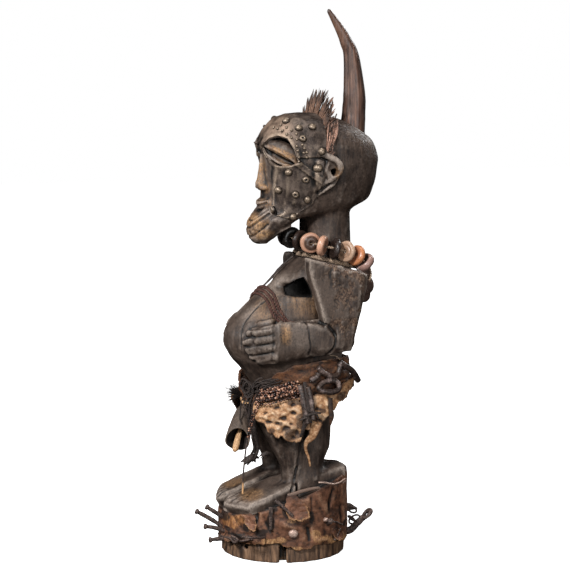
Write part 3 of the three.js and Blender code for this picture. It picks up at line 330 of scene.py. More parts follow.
def add_studio():
    """White paper under and around the figure, which is lit by the lamps alone."""
    floor_mesh = bpy.data.meshes.new("floor")
    half = 6
    corners = [(-half, -half, 0), (half, -half, 0), (half, half, 0), (-half, half, 0)]
    floor_mesh.from_pydata(corners, [], [(0, 1, 2, 3)])
    floor_mesh.materials.append(studio_paper())
    floor = bpy.data.objects.new("floor", floor_mesh)
    floor.visible_glossy = False
    floor.visible_diffuse = False
    bpy.context.scene.collection.objects.link(floor)
    world = bpy.data.worlds.new("studio")
    bpy.context.scene.world = world
    world.use_nodes = True
    world.node_tree.nodes["Background"].inputs["Color"].default_value = linear("#ffffff")
    world.node_tree.nodes["Background"].inputs["Strength"].default_value = 1.0
    world.cycles_visibility.glossy = False
    world.cycles_visibility.diffuse = False
    bpy.context.scene.view_settings.view_transform = "Standard"
    for name, lamp in LAMPS.items():
        add_lamp(name, *lamp)


# Finishes
RAMP_PLACES = (0.34, 0.5, 0.68)
PATTERN_UNITS = 1000.0  # object coordinates are metres, and the patterns' sizes below are millimetres


def linear(hex_colour):
    channels = [int(hex_colour[i:i + 2], 16) / 255 for i in (1, 3, 5)]
    return [c / 12.92 if c <= 0.04045 else ((c + 0.055) / 1.055) ** 2.4 for c in channels] + [1.0]


def add(tree, kind, inputs=None, stops=(), **settings):
    """A node with its settings and links. An input is a number, a hex colour, a node or a socket, and
    stops are the places and hex colours of a ramp."""
    node = tree.nodes.new("ShaderNode" + kind)
    for setting, value in settings.items():
        setattr(node, setting, value)
    for socket, value in (inputs or {}).items():
        if isinstance(value, bpy.types.Node):
            value = next(output for output in value.outputs if output.enabled)
        if isinstance(value, bpy.types.NodeSocket):
            tree.links.new(value, node.inputs[socket])
        else:
            node.inputs[socket].default_value = linear(value) if isinstance(value, str) else value
    for place, colour in stops[1:-1]:
        node.color_ramp.elements.new(place).color = linear(colour)
    for end in (0, -1) if stops else ():
        node.color_ramp.elements[end].position = stops[end][0]
        node.color_ramp.elements[end].color = linear(stops[end][1])
    return node


def finish(name, patterns, base, layers=(), roughness=0.6, bumps=(), **values):
    """A surface's finish. patterns are noises: their size in mm, or three along x, y and z, and their
    detail. base is a pattern and its ramp of places and colours, or its three colours. A layer is
    such a ramp or one colour, and after it what lays it on: rows of source, low, high, least and most,
    or of a source and most alone for one from 0 to 1. A source is a pattern or a mask of the mesh.
    roughness is a number or such a row, and bumps are patterns and depths in mm."""
    if name in bpy.data.materials:
        return bpy.data.materials[name]
    material = bpy.data.materials.new(name)
    material.use_nodes = True
    tree = material.node_tree
    shader = tree.nodes["Principled BSDF"]
    place = add(tree, "TexCoord").outputs["Object"]
    sources = {}
    for pattern, (size, detail) in patterns.items():
        scale = [PATTERN_UNITS / float(along) for along in np.broadcast_to(size, 3)]
        where = add(tree, "Mapping", {"Vector": place, "Scale": scale})
        settings = {"Vector": where, "Scale": 1.0, "Detail": detail, "Roughness": 0.6}
        sources[pattern] = add(tree, "TexNoise", settings)

    def strength(rows):
        total = None
        for source, *limits in rows:
            low, high, least, most = limits if limits[1:] else (0, 1, 0, *limits)
            if source not in sources:
                sources[source] = add(tree, "Attribute", attribute_name=source)
            ends = {"From Min": low, "From Max": high, "To Min": least, "To Max": most}
            part = add(tree, "MapRange", {"Value": sources[source], **ends})
            total = part if total is None else add(tree, "Math", {0: total, 1: part}, operation="MULTIPLY")
        return total

    def paint(colour):
        if isinstance(colour, str):
            return colour
        pattern, *stops = colour
        stops = list(zip(RAMP_PLACES, stops)) if stops[1:] else stops[0]
        return add(tree, "ValToRGB", {"Fac": sources[pattern]}, stops)

    colour = paint(base)
    for above, *rows in layers:
        colour = add(tree, "Mix", {0: strength(rows), 6: colour, 7: paint(above)}, data_type="RGBA")
    tree.links.new(colour.outputs[2 if layers else 0], shader.inputs["Base Color"])
    if isinstance(roughness, tuple):
        tree.links.new(strength([roughness]).outputs[0], shader.inputs["Roughness"])
    else:
        shader.inputs["Roughness"].default_value = roughness
    normal = None
    for pattern, depth in bumps:
        inputs = {"Height": sources[pattern], "Distance": depth * MM}
        normal = add(tree, "Bump", {**inputs, "Normal": normal} if normal else inputs)
    if normal:
        tree.links.new(normal.outputs["Normal"], shader.inputs["Normal"])
    for socket, value in values.items():
        shader.inputs[socket.replace("_", " ")].default_value = value
    return material


def studio_paper():
    """Seamless matt paper, lit so that it is as white as what is around it."""
    patterns = {"tooth": (3, 3)}
    return finish("studio_paper", patterns, ("tooth", [(0.3, "#f4f3f2"), (0.7, "#f8f7f6")]), roughness=0.95,
                  Emission_Color=linear("#ffffff"), Emission_Strength=1.0)


def smoked_hardwood():
    """Hardwood cut with adze and knife, oiled and smoked, with pores a millimetre wide that run upright and
    a dull wax sheen. Painted shade makes it nearly black in the hollows and under the arms; on the ridges
    and on lit places it is rubbed to a grey brown and carries a painted highlight."""
    patterns = {
        "pores": ((1.0, 1.0, 9), 5), "streaks": ((6, 6, 42), 5), "clouds": ((36, 36, 46), 5),
        "specks": ((2.6, 2.6, 3.4), 5),
    }
    layers = [
        ("#54463d", ("clouds", 0.42, 0.66, 0, 0.85)),
        ("#75665b", ("specks", 0.57, 0.7, 0, 0.5), ("clouds", 0.35, 0.6, 0.2, 1)),
        ("#12100e", ("specks", 0.43, 0.33, 0, 0.65)),
        # rubbed grey brown with a painted highlight on the ridges and lit places
        ("#93857a", ("worn", 1), ("specks", 0.34, 0.6, 0.35, 1)),
        (("streaks", [(0.35, "#6a4a30"), (0.65, "#b58d62")]), ("earth", 1),
         ("specks", 0.36, 0.56, 0.15, 1)),
        (("streaks", [(0.36, "#2e221b"), (0.52, "#644c3a"), (0.68, "#917157")]), ("bare", 1)),
        (("specks", [(0.38, "#2e221b"), (0.5, "#5c4436"), (0.62, "#86705c")]), ("flaked", 0.9)),
        # painted shade: near black in the hollows and under the arms
        ("#0d0a09", ("sooty", 1)),
    ]
    return finish("smoked_hardwood", patterns,
                  ("streaks", [(0.34, "#1e1613"), (0.5, "#332720"), (0.66, "#4b3d34")]), layers,
                  ("specks", 0.3, 0.7, 0.42, 0.72), [("pores", 0.25), ("streaks", 0.5), ("specks", 0.45)],
                  IOR=1.45)


def blackened_metal():
    """Thin sheet iron and copper beaten over the wood: black-brown oxide with a soft dull shine, rubbed to
    a warmer grey along folds and rims with a painted highlight there, lighter and warmer on the upper brow
    as painted light, nearly black in its hollows as painted shade, and scratched."""
    patterns = {
        "clouds": ((15, 15, 19), 6), "specks": (1.8, 4), "scratches": ((0.9, 5, 0.9), 3),
    }
    layers = [
        ("#7a6a5d", ("specks", 0.55, 0.7, 0, 0.6)),
        ("#1c1613", ("specks", 0.42, 0.32, 0, 0.6)),
        # painted light on the upper brow, then rubbed folds and rims with a painted highlight, then painted
        # shade in the hollows
        ("#9c8370", ("warm", 0.85), ("clouds", 0.36, 0.6, 0.3, 1)),
        ("#b8a38d", ("worn", 0.85), ("specks", 0.3, 0.6, 0.3, 1)),
        ("#0e0b09", ("sooty", 1)),
    ]
    return finish("blackened_sheet_metal", patterns,
                  ("clouds", "#281f1b", "#483c35", "#6b5d53"), layers,
                  ("clouds", 0.3, 0.7, 0.4, 0.62), [("scratches", 0.1), ("specks", 0.3)], Metallic=0.45)


def worn_brass():
    """Domed brass tacks, brown with handling, rubbed bright on their crowns with a painted highlight, and
    painted dark as shade round their feet and in their holes.
    """
    patterns = {"specks": (1.6, 4)}
    layers = [("#94826f", ("crown", 1), ("specks", 0.35, 0.6, 0.4, 1)), ("#15100d", ("sooty", 1))]
    return finish("handled_brass_tacks", patterns,
                  ("specks", [(0.35, "#241c18"), (0.52, "#41362f"), (0.7, "#665a4e")]), layers,
                  0.4, [("specks", 0.2)], Metallic=0.45)


def antelope_horn():
    """Keratin: brown streaks two or three millimetres wide run up it, with painted shade darkening its rear
    side and its front edge, a darker tip, and a low waxy shine."""
    patterns = {
        "streaks": ((3.2, 3.2, 52), 6), "clouds": ((20, 20, 44), 4), "fibres": ((0.9, 0.9, 16), 3),
    }
    layers = [
        ("#6f5242", ("clouds", 0.42, 0.66, 0, 0.75), ("fibres", 0.35, 0.6, 0.5, 1)),
        ("#17110f", ("dark", 0.85)),
    ]
    return finish("antelope_horn_keratin", patterns,
                  ("streaks", [(0.34, "#271b16"), (0.48, "#46322a"), (0.62, "#6a4c3e"), (0.74, "#8c6a56")]),
                  layers,
                  ("streaks", 0.3, 0.7, 0.36, 0.56), [("streaks", 0.4), ("fibres", 0.15)], IOR=1.54)


def brown_feather():
    """Stiff old barbs, rusty brown at the foot and nearly black towards the tips."""
    patterns = {"barbs": ((1.1, 1.1, 5), 4)}
    return finish("brown_feather_barbs", patterns,
                  ("barbs", "#33241e", "#634737", "#8c6a55"),
                  [("#241d1a", ("tip", 0.85), ("barbs", 0.3, 0.6, 0.7, 1))], 0.78, [("barbs", 0.5)])


def pale_feather():
    """The crest's rear strands, bleached to a pinkish tan."""
    patterns = {"barbs": ((1.1, 1.1, 6), 4)}
    return finish("bleached_feather_barbs", patterns,
                  ("barbs", [(0.34, "#5a4034"), (0.5, "#96705e"), (0.66, "#c49e8b")]),
                  [("#4a352c", ("tip", 0.3, 1, 0, 0.6))], 0.75, [("barbs", 0.5)])


def red_fibre():
    """Cord of plant fibre, stained dark red and greasy with age."""
    patterns = {"fibres": (1.2, 4), "clouds": (14, 4)}
    return finish("red_stained_fibre", patterns,
                  ("fibres", "#1c100e", "#3c221b", "#6b4132"),
                  [("#7d5b4a", ("clouds", 0.5, 0.68, 0, 0.5), ("fibres", 0.4, 0.6, 0.3, 1))], 0.82,
                  [("fibres", 0.5)])


def pale_fibre():
    """Twisted bast, the colour of straw, dirty in its grooves."""
    patterns = {"fibres": (1.1, 4), "clouds": (10, 4)}
    return finish("pale_bast_fibre", patterns,
                  ("fibres", "#5c4637", "#98806a", "#c9b49c"),
                  [("#3a2b23", ("clouds", 0.48, 0.66, 0, 0.7))], 0.85, [("fibres", 0.4)])


def dark_fibre():
    """Blackened cord and plaited leather, nearly black with a dusty crown."""
    patterns = {"fibres": (1.3, 4)}
    return finish("blackened_fibre", patterns,
                  ("fibres", [(0.34, "#120d0b"), (0.52, "#2b211d"), (0.7, "#594840")]),
                  (), 0.75, [("fibres", 0.45)])


def polished_seed(name, rim, face):
    """A hard seed polished by wear: its rim and its face in two browns, with fine pits."""
    patterns = {"clouds": (9, 4), "pits": (1.6, 4)}
    layers = [
        (face, ("face", 0.9)),
        ("#1b1412", ("clouds", 0.55, 0.72, 0, 0.5)),
        ("#e3c9b4", ("pits", 0.62, 0.74, 0, 0.35)),
    ]
    return finish(name, patterns, ("clouds", [(0.3, rim), (0.7, rim)]), layers,
                  ("clouds", 0.3, 0.7, 0.24, 0.42), [("pits", 0.12), ("clouds", 0.5)], IOR=1.5)


def thong_leather():
    """A narrow dark thong, bare and straw coloured where its end has lost its skin."""
    patterns = {"wrinkles": ((1.8, 1.8, 3), 4)}
    layers = [("#c79a6c", ("bare", 1))]
    return finish("dark_thong_leather", patterns,
                  ("wrinkles", "#17110f", "#352924", "#5b4a42"), layers, 0.65,
                  [("wrinkles", 0.3)], IOR=1.45)


def red_leather():
    """The waist's folded leather, a dull red brown with darker folds, rubbed crests with a painted
    highlight, and painted shade in its creases.
    """
    patterns = {"wrinkles": ((4, 4, 2.6), 5), "clouds": ((22, 22, 12), 5), "specks": (1.6, 4)}
    layers = [
        ("#75492c", ("clouds", 0.48, 0.68, 0, 0.75)),
        ("#1d120d", ("clouds", 0.46, 0.36, 0, 0.7)),
        ("#2a1813", ("specks", 0.44, 0.34, 0, 0.6)),
        ("#a07751", ("worn", 0.8), ("specks", 0.35, 0.6, 0.4, 1)),
        ("#140d0a", ("sooty", 1)),
    ]
    return finish("red_brown_leather", patterns,
                  ("wrinkles", "#22140e", "#452b1c", "#6a432b"), layers,
                  0.66, [("wrinkles", 0.8), ("specks", 0.3)], IOR=1.45)


def raw_hide():
    """Stiff untanned hide: pale orange tan, greyish where hair was scraped off, brown along its edges and
    in lobes that are partly stain and partly painted shade, with a painted highlight on its crests and
    painted shade in its hollows.
    """
    patterns = {"wrinkles": ((5, 5, 4), 5), "clouds": ((26, 26, 20), 5), "specks": (1.5, 5)}
    layers = [
        ("#7d583d", ("clouds", 0.48, 0.68, 0, 0.85)),
        ("#d6b08a", ("wrinkles", 0.52, 0.7, 0, 0.6)),
        ("#5a3a27", ("specks", 0.44, 0.32, 0, 0.75)),
        ("#ecd2b2", ("worn", 0.9)),
        ("#2c1b12", ("edge", 0.95), ("specks", 0.3, 0.6, 0.6, 1)),
        ("#1d100a", ("sooty", 1)),
    ]
    return finish("stiff_raw_hide", patterns,
                  ("wrinkles", "#7f5738", "#ad8059", "#c9a27c"), layers,
                  ("wrinkles", 0.3, 0.7, 0.55, 0.78), [("wrinkles", 0.7), ("specks", 0.25)], IOR=1.45,
                  Subsurface_Weight=0.04, Subsurface_Radius=(0.004, 0.002, 0.001))


def bound_iron():
    """Iron links bound with leather strip, rubbed to a brownish grey on the crowns, and painted darker
    between the turns of the strip as shade.
    """
    patterns = {"specks": (1.8, 5), "clouds": (9, 4)}
    layers = [
        ("#4f3d34", ("clouds", 0.45, 0.65, 0, 0.8)),
        ("#94807a", ("worn", 0.8), ("specks", 0.35, 0.6, 0.3, 1)),
        ("#0f0c0b", ("sooty", 1)),
    ]
    return finish("leather_bound_iron", patterns,
                  ("specks", "#1a1412", "#322825", "#574942"), layers,
                  0.42, [("specks", 0.3)], Metallic=0.15)


def red_glass():
    """Small glass beads, dull red brown to near black, with little glints."""
    patterns = {"tint": (4.6, 1)}
    return finish("dull_glass_beads", patterns,
                  ("tint", [(0.38, "#0f0b0a"), (0.48, "#2a1813"), (0.54, "#6f4536"), (0.64, "#c49a80")]),
                  (), 0.28, IOR=1.5)


def greyed_wood():
    """The bell's wood, weathered to a brownish grey with fine dark pores along it, painted dark inside as
    shade and rubbed lighter on its lip.
    """
    patterns = {"pores": ((1.0, 1.0, 10), 5), "clouds": ((12, 12, 20), 4)}
    layers = [
        ("#6f5f52", ("clouds", 0.45, 0.66, 0, 0.8)),
        ("#a08f7e", ("worn", 0.9)),
        ("#0e0b0a", ("sooty", 1)),
    ]
    return finish("greyed_wood", patterns,
                  ("pores", [(0.36, "#2a211c"), (0.52, "#4d4037"), (0.68, "#6b5c50")]),
                  layers, 0.62, [("pores", 0.3)], IOR=1.45)


def pale_wood():
    """The clapper's bare pale wood, with brown grain."""
    patterns = {"pores": ((1.2, 1.2, 12), 5)}
    return finish("pale_bare_wood", patterns,
                  ("pores", [(0.36, "#8a6646"), (0.52, "#bd946a"), (0.68, "#d8b48a")]),
                  (), 0.6, [("pores", 0.25)], IOR=1.45)


def black_bristle():
    """Stiff animal hair, black and slightly glossy."""
    patterns = {"hair": (1.2, 3)}
    return finish("black_bristle", patterns,
                  ("hair", [(0.36, "#0c0909"), (0.54, "#211a17"), (0.7, "#4d3f37")]), (), 0.5)


def wrap_leather():
    """The plinth's wrap: thick leather, red brown and creased, painted nearly black as shade in its folds
    and darker in patches, rubbed with a painted highlight on its crests, pale where its edges broke, with a
    patch of orange hair left on it."""
    patterns = {
        "creases": ((7, 7, 5), 6), "clouds": ((30, 30, 24), 5), "specks": (1.8, 5),
        "hairs": ((1.0, 1.0, 7), 4),
    }
    layers = [
        ("#80563f", ("clouds", 0.46, 0.66, 0, 0.8)),
        ("#2b1a13", ("clouds", 0.45, 0.35, 0, 0.85)),
        ("#97705a", ("specks", 0.6, 0.74, 0, 0.5)),
        ("#20140f", ("specks", 0.42, 0.32, 0, 0.6)),
        (("hairs", [(0.36, "#54311c"), (0.52, "#96643b"), (0.68, "#c9965f")]), ("furred", 1)),
        (("hairs", [(0.36, "#6f4a2e"), (0.52, "#a87b50"), (0.68, "#d0a878")]), ("pale", 1),
         ("specks", 0.35, 0.58, 0.3, 1)),
        ("#ab8468", ("worn", 0.75), ("specks", 0.35, 0.6, 0.3, 1)),
        ("#0f0a08", ("sooty", 1)),
    ]
    return finish("creased_wrap_leather", patterns,
                  ("creases", "#2e1c14", "#573624", "#79503a"), layers,
                  ("creases", 0.3, 0.7, 0.5, 0.74), [("creases", 1.0), ("specks", 0.35)], IOR=1.45)


def rusted_iron():
    """Forged iron under a dark rust, rough and dull, browner on its edges."""
    patterns = {"scale": (2.4, 5)}
    layers = [("#8a7365", ("worn", 0.8)), ("#6b4d3e", ("scale", 0.54, 0.68, 0, 0.7))]
    return finish("rusted_forged_iron", patterns,
                  ("scale", "#231b18", "#473934", "#77655c"), layers,
                  0.62, [("scale", 0.5)], Metallic=0.15)


def pale_iron():
    """A disc of pale tinned iron on a nail, pinkish with age."""
    patterns = {"spots": (2.4, 4)}
    return finish("tinned_iron", patterns, ("spots", "#8a6f64", "#b59a8c", "#d6bfb0"),
                  (), 0.5, [("spots", 0.25)], Metallic=0.35)


# The carving is smoothed from its faceted solid as a field of distances, and the finer cuts are made there.
VOXEL = 1.4
BAND = 11.0


def blurred(field, sigma):
    """The field smoothed by a bell curve, with sigma in steps of the grid."""
    reach = int(math.ceil(2.5 * sigma))
    offsets = np.arange(-reach, reach + 1)
    weights = np.exp(-0.5 * (offsets / sigma) ** 2)
    weights = (weights / weights.sum()).astype(np.float32)
    for axis in range(3):
        padding = [(reach, reach) if a == axis else (0, 0) for a in range(3)]
        padded = np.pad(field, padding, mode="edge")
        total = np.zeros_like(field)
        for k, weight in enumerate(weights):
            window = [slice(None)] * 3
            window[axis] = slice(k, k + field.shape[axis])
            total += weight * padded[tuple(window)]
        field = total
    return field


class Carving:
    """Distances to the surface, in millimetres, on a regular grid. They are negative inside."""

    def __init__(self, node):
        points, triangles = mesh_arrays(node)
        grid = vdb.FloatGrid.createLevelSetFromPolygons(
            points, triangles=triangles, transform=vdb.createLinearTransform(voxelSize=VOXEL),
            halfWidth=BAND / VOXEL,
        )
        low, high = grid.evalActiveVoxelBoundingBox()
        self.voxel = VOXEL
        self.low = np.array(low)
        self.field = np.empty([b - a + 1 for a, b in zip(low, high)], np.float32)
        grid.copyToArray(self.field, ijk=low)

    def window(self, low, high):
        """Slices of the grid between two corners, and the coordinates of their points."""
        a = np.clip(np.floor(np.array(low) / self.voxel).astype(int) - self.low, 0, self.field.shape)
        b = np.clip(np.ceil(np.array(high) / self.voxel).astype(int) - self.low + 1, 0, self.field.shape)
        slices = tuple(slice(i, j) for i, j in zip(a, b))
        axes = [(np.arange(i, j) + start) * self.voxel for i, j, start in zip(a, b, self.low)]
        return slices, np.stack(np.meshgrid(*axes, indexing="ij"), axis=-1).astype(np.float32)

    def join(self, low, high, distance, blend=2.0):
        """Adds a form, given as a function of points, with a soft seam."""
        slices, points = self.window(low, high)
        self.field[slices] = soft_minimum(self.field[slices], distance(points), blend)

    def cut(self, low, high, distance, blend=1.0):
        slices, points = self.window(low, high)
        self.field[slices] = -soft_minimum(-self.field[slices], distance(points), blend)

    def at(self, points, field=None):
        """The field's values at some points, by the nearest steps of the grid around them."""
        field = self.field if field is None else field
        where = points / self.voxel - self.low
        base = np.clip(np.floor(where).astype(int), 0, np.array(field.shape) - 2)
        t = np.clip(where - base, 0, 1)
        total = np.zeros(len(points))
        for corner in np.ndindex(2, 2, 2):
            weight = np.prod(np.where(corner, t, 1 - t), axis=1)
            total += weight * field[tuple((base + corner).T)]
        return total

    def everywhere(self):
        return self.window(self.low * self.voxel, (self.low + self.field.shape) * self.voxel)

    def finer(self, low, high, voxel):
        """A part of the grid again, with smaller steps."""
        made = Carving.__new__(Carving)
        made.voxel = voxel
        made.low = np.floor(np.array(low) / voxel).astype(int)
        shape = np.ceil(np.array(high) / voxel).astype(int) - made.low
        made.field = np.zeros(shape, np.float32)
        _, points = made.everywhere()
        made.field = self.at(points.reshape(-1, 3)).reshape(shape).astype(np.float32)
        return made

    def surface(self, adaptivity):
        """Points in millimetres and faces of the surface."""
        grid = vdb.FloatGrid(BAND)
        grid.copyFromArray(self.field, ijk=tuple(int(v) for v in self.low))
        grid.transform = vdb.createLinearTransform(voxelSize=self.voxel)
        grid.gridClass = vdb.GridClass.LEVEL_SET
        points, triangles, quads = grid.convertToPolygons(0.0, adaptivity)
        faces = [face[::-1] for face in triangles.tolist()] + [face[::-1] for face in quads.tolist()]
        return points.astype(float), faces


def soft_minimum(a, b, blend):
    h = np.clip(0.5 + 0.5 * (a - b) / blend, 0, 1)
    return mixed(a, b, h) - blend * h * (1 - h)


def soft_box(points, low, high, edge):
    """1 inside a box and 0 outside, eased over an edge of a width in millimetres."""
    low, high = np.array(low, float), np.array(high, float)
    inside = np.minimum(points - low, high - points).min(axis=-1)
    return eased(inside / edge + 0.5)


def tube_distance(line, radii):
    """A function of points: the distance to a round line with a radius at each of its points."""
    line = np.array(line, float)
    radii = np.broadcast_to(np.asarray(radii, float), (len(line),))

    def distance(points):
        best = None
        for a, b, ra, rb in zip(line[:-1], line[1:], radii[:-1], radii[1:]):
            along = b - a
            t = np.clip(((points - a) @ along) / (along @ along), 0, 1)
            away = np.linalg.norm(points - a - t[..., None] * along, axis=-1) - mixed(ra, rb, t)
            best = away if best is None else np.minimum(best, away)
        return best

    return distance


def ball_distance(centre, half, axes=np.eye(3)):
    """About the distance to a ball of three half sizes along three axes."""
    def distance(points):
        local = ((points - np.array(centre)) @ np.array(axes).T) / np.array(half)
        size = np.linalg.norm(local, axis=-1)
        return (size - 1) * min(half)

    return distance


def both_sides(distance):
    """The same form on the figure's left and right."""
    return lambda points: distance(mirrored(points))


def polygon_distance(outline, a, b):
    """Signed distances of places (a, b) from a closed outline, negative inside."""
    best = np.full(a.shape, 1e9)
    inside = np.zeros(a.shape, bool)
    for (xa, ya), (xb, yb) in zip(outline, np.roll(outline, -1, axis=0)):
        dx, dy = xb - xa, yb - ya
        t = np.clip(((a - xa) * dx + (b - ya) * dy) / (dx * dx + dy * dy), 0, 1)
        best = np.minimum(best, np.hypot(a - xa - t * dx, b - ya - t * dy))
        crossing = (ya > b) != (yb > b)
        inside ^= crossing & (a < xa + (b - ya) * dx / (dy if abs(dy) > 1e-9 else 1e-9))
    return np.where(inside, -best, best)


# The figure

TORSO = [
    (128, -30, 80, 56), (150, -42, 90, 64), (178, -60, 91, 68), (198, -79, 89, 69), (218, -90, 86, 69),
    (238, -89, 83, 66), (254, -79, 82, 62), (278, -51, 84, 58), (301, -27, 88, 58), (320, -4, 94, 64),
    (338, 18, 99, 70), (350, 33, 97, 60),
]
TORSO_SQUARE = 2.3
NECK = [(320, 26, 106, 41), (362, 28, 104, 38), (418, 29, 101, 38)]
HIPS = [
    (70, -60, 72, 74), (100, -62, 76, 75), (120, -62, 82, 74), (136, -61, 88, 71), (150, -55, 91, 67),
    (178, -61, 92, 69), (198, -79, 90, 70),
]
HIPS_SQUARE = 2.4
EYE_INNER, EYE_OUTER = spot(11, -35, 508), spot(45, 12, 484)
SOCKET = [(-30, 0), (-24, 14), (-13, 24), (2, 26), (17, 17), (31, 1), (18, -9), (2, -15), (-14, -11)]
EAR_LINE = [(61, 38, 500), (66, 50, 494), (69, 59, 487), (70, 63, 479), (67, 60, 471), (62, 51, 463),
            (57, 40, 455), (50, 27, 446)]
EAR_OUTSIDE = [(34, 507), (52, 499.5), (63, 491), (68.8, 481), (65, 470), (54, 460), (41.5, 451), (41, 440),
               (100, 440),
               (100, 520), (34, 520)]  # y and height of what is cut away behind the rim


def on_form(table, square, turn, z, offset):
    """A spot on a squared oval form: turn in degrees, 0 at its left and -90 in front, moved outward."""
    rows = np.array(table, float)
    turn, z, offset = np.broadcast_arrays(np.asarray(turn, float), z, offset)
    front, back, half = (np.interp(z, rows[:, 0], rows[:, column]) for column in (1, 2, 3))
    angle = np.radians(turn)

    def bend(value):
        return np.sign(value) * np.abs(value) ** (2 / square)

    x = bend(np.cos(angle)) * (half + offset)
    y = (front + back) / 2 + bend(np.sin(angle)) * ((back - front) / 2 + offset)
    return np.stack([x, y, z + PLINTH_TOP], axis=-1)


def eye_frame():
    """The eye's middle, and its directions along the slit, up, and out of the face."""
    along = unit(EYE_OUTER - EYE_INNER)
    out = np.array((0.82, -0.57, 0.08))
    out = unit(out - along * (out @ along))
    above = np.cross(out, along)
    above = above if above[2] > 0 else -above
    return mixed(EYE_INNER, EYE_OUTER, 0.48), np.array((along, above, out))


EYE_MIDDLE, EYE_AXES = eye_frame()


def in_eye(points):
    """Places in the left eye's own frame: along, up and out."""
    return (points - EYE_MIDDLE) @ EYE_AXES.T


def from_eye(places):
    return EYE_MIDDLE + np.asarray(places, float) @ EYE_AXES


def keeps_its_edges(points):
    """1 where the knife left the wood crisp, as on face, ears, hands, feet and plinth, and 0 elsewhere."""
    side = np.abs(points[..., 0])
    there = np.stack([side, points[..., 1], points[..., 2]], axis=-1)
    feet = eased((PLINTH_TOP + 26 - points[..., 2] + 0.2 * points[..., 1]) / 14)
    hands = soft_box(there, (34, -110, 292), (110, -36, 356), 10)
    ears = soft_box(there, (50, 22, 518), (90, 80, 604), 8)
    face = soft_box(there, (-5, -110, 450), (58, 14, 622), 14)
    arms = 0.6 * soft_box(there, (64, 20, 290), (110, 110, 450), 10)
    return np.maximum.reduce([feet, hands, ears, 0.85 * face, arms])


def smoothed_wood(wood):
    """Rounds the broad forms more than the crisp ones."""
    fine, broad = blurred(wood.field, 0.7), blurred(wood.field, 3.4)
    _, points = wood.everywhere()
    wood.field = mixed(broad, fine, keeps_its_edges(points)).astype(np.float32)


MARCH_STEP = 0.5


def along_surface(wood, starts, direction, reach=24):
    """Where lines from outside first meet the wood, for each start, marching against a direction."""
    steps = np.arange(reach, -reach, -MARCH_STEP)
    lines = starts[:, None, :] + steps[None, :, None] * np.asarray(direction)
    values = wood.at(lines.reshape(-1, 3)).reshape(len(starts), len(steps))
    first = np.argmax(values < 0, axis=1)
    return starts + steps[first][:, None] * np.asarray(direction)


FACE = (-80, -60, 455), (80, 80, 625)  # two corners of the window that is cut
# Lines of the eye, in its own frame
LID_CREST = [(-27, 3, 2), (-12, 5, 9.4), (4, 4, 10.8), (17, 1.5, 8), (27, -1, 2)]
LOWER_LID = [(-20, -7, 0), (-5, -10, 4), (8, -10, 4.4), (20, -6.5, 1)]
SLIT = [(-27, -0.8, 2), (-12, -2.6, 6), (2, -4.4, 6.6), (17, -4.2, 4), (28, -2.6, 0)]


def carve_eyes(wood):
    """A rim round the socket, a swollen upper lid with a crest, a deep slit and a thin lower lid."""
    def add(line, radii, blend):
        wood.join(*FACE, both_sides(tube_distance(line, radii)), blend)

    rim = np.array([(a * 1.04, b * 1.06, 0) for a, b in SOCKET[:6]])
    add(along_surface(wood, from_eye(curve_through(rim, 16)), EYE_AXES[2]), 1.9, 2.0)
    under = np.array([(a * 1.03, b * 1.1, 0) for a, b in [*SOCKET[5:], SOCKET[0]]])
    add(along_surface(wood, from_eye(curve_through(under, 14)), EYE_AXES[2]), 1.5, 1.5)
    lid = ball_distance(from_eye((0, 7.5, -1)), (28, 12.5, 11), EYE_AXES)
    wood.join(*FACE, both_sides(lid), 1.0)
    add(from_eye(curve_through(LID_CREST, 18)), 1.5, 2.5)
    add(from_eye(curve_through(LOWER_LID, 12)), 2.0, 1.0)
    slit = from_eye(curve_through(SLIT, 18))
    widths = varied(18, (0, 0.25, 0.6, 1), (1.2, 3.6, 4.3, 1.2))
    for depth in (0, 3, 6):
        inner = slit - EYE_AXES[2] * depth
        wood.cut(*FACE, both_sides(tube_distance(inner, widths)), 0.6)


# The jaw's outline at the middle, as y and height, and how far it falls back and rises to the side
JAW = [(-41.6, 413), (-49.4, 405), (-55.2, 396), (-56, 389.7), (-54.4, 381), (-51, 373.5), (-46, 368),
       (-38, 366), (-24, 372), (-24, 413)]
JAW_BACK = [(0, 0), (6, 0.5), (12, 3), (17, 8), (22, 15), (28, 27), (32, 37)]
JAW_RISE = [(0, 0), (6, 0.5), (12, 3), (17, 8), (22, 13), (28, 20), (32, 24)]
LIP_BLOCK = [(0, -34.5, 423), (9, -31, 424), (17, -23, 427)]
MOUTH_LINES = [
    ([(0, -60, 390), (10, -57, 391.5), (17, -48, 398), (22, -38, 405), (26, -30, 412)], 2.1),
    ([(0, -60, 401.5), (9, -55, 402.5), (17, -44, 408), (24, -32, 418)], 1.3),
    ([(0, -60, 378), (10, -54, 378), (18, -42, 386), (26, -30, 397)], 1.5),
    ([(0, -44, 421.5), (9, -41, 423), (18, -31, 427)], 2.0),
    ([(0, -44, 430), (10, -40, 431), (18, -29, 434)], 1.2),
    ([(12, -56, 388), (19, -48, 386)], 0.7), ([(7, -58, 386), (11, -54, 379)], 0.7),
]
TEETH = range(-18, 19, 6)


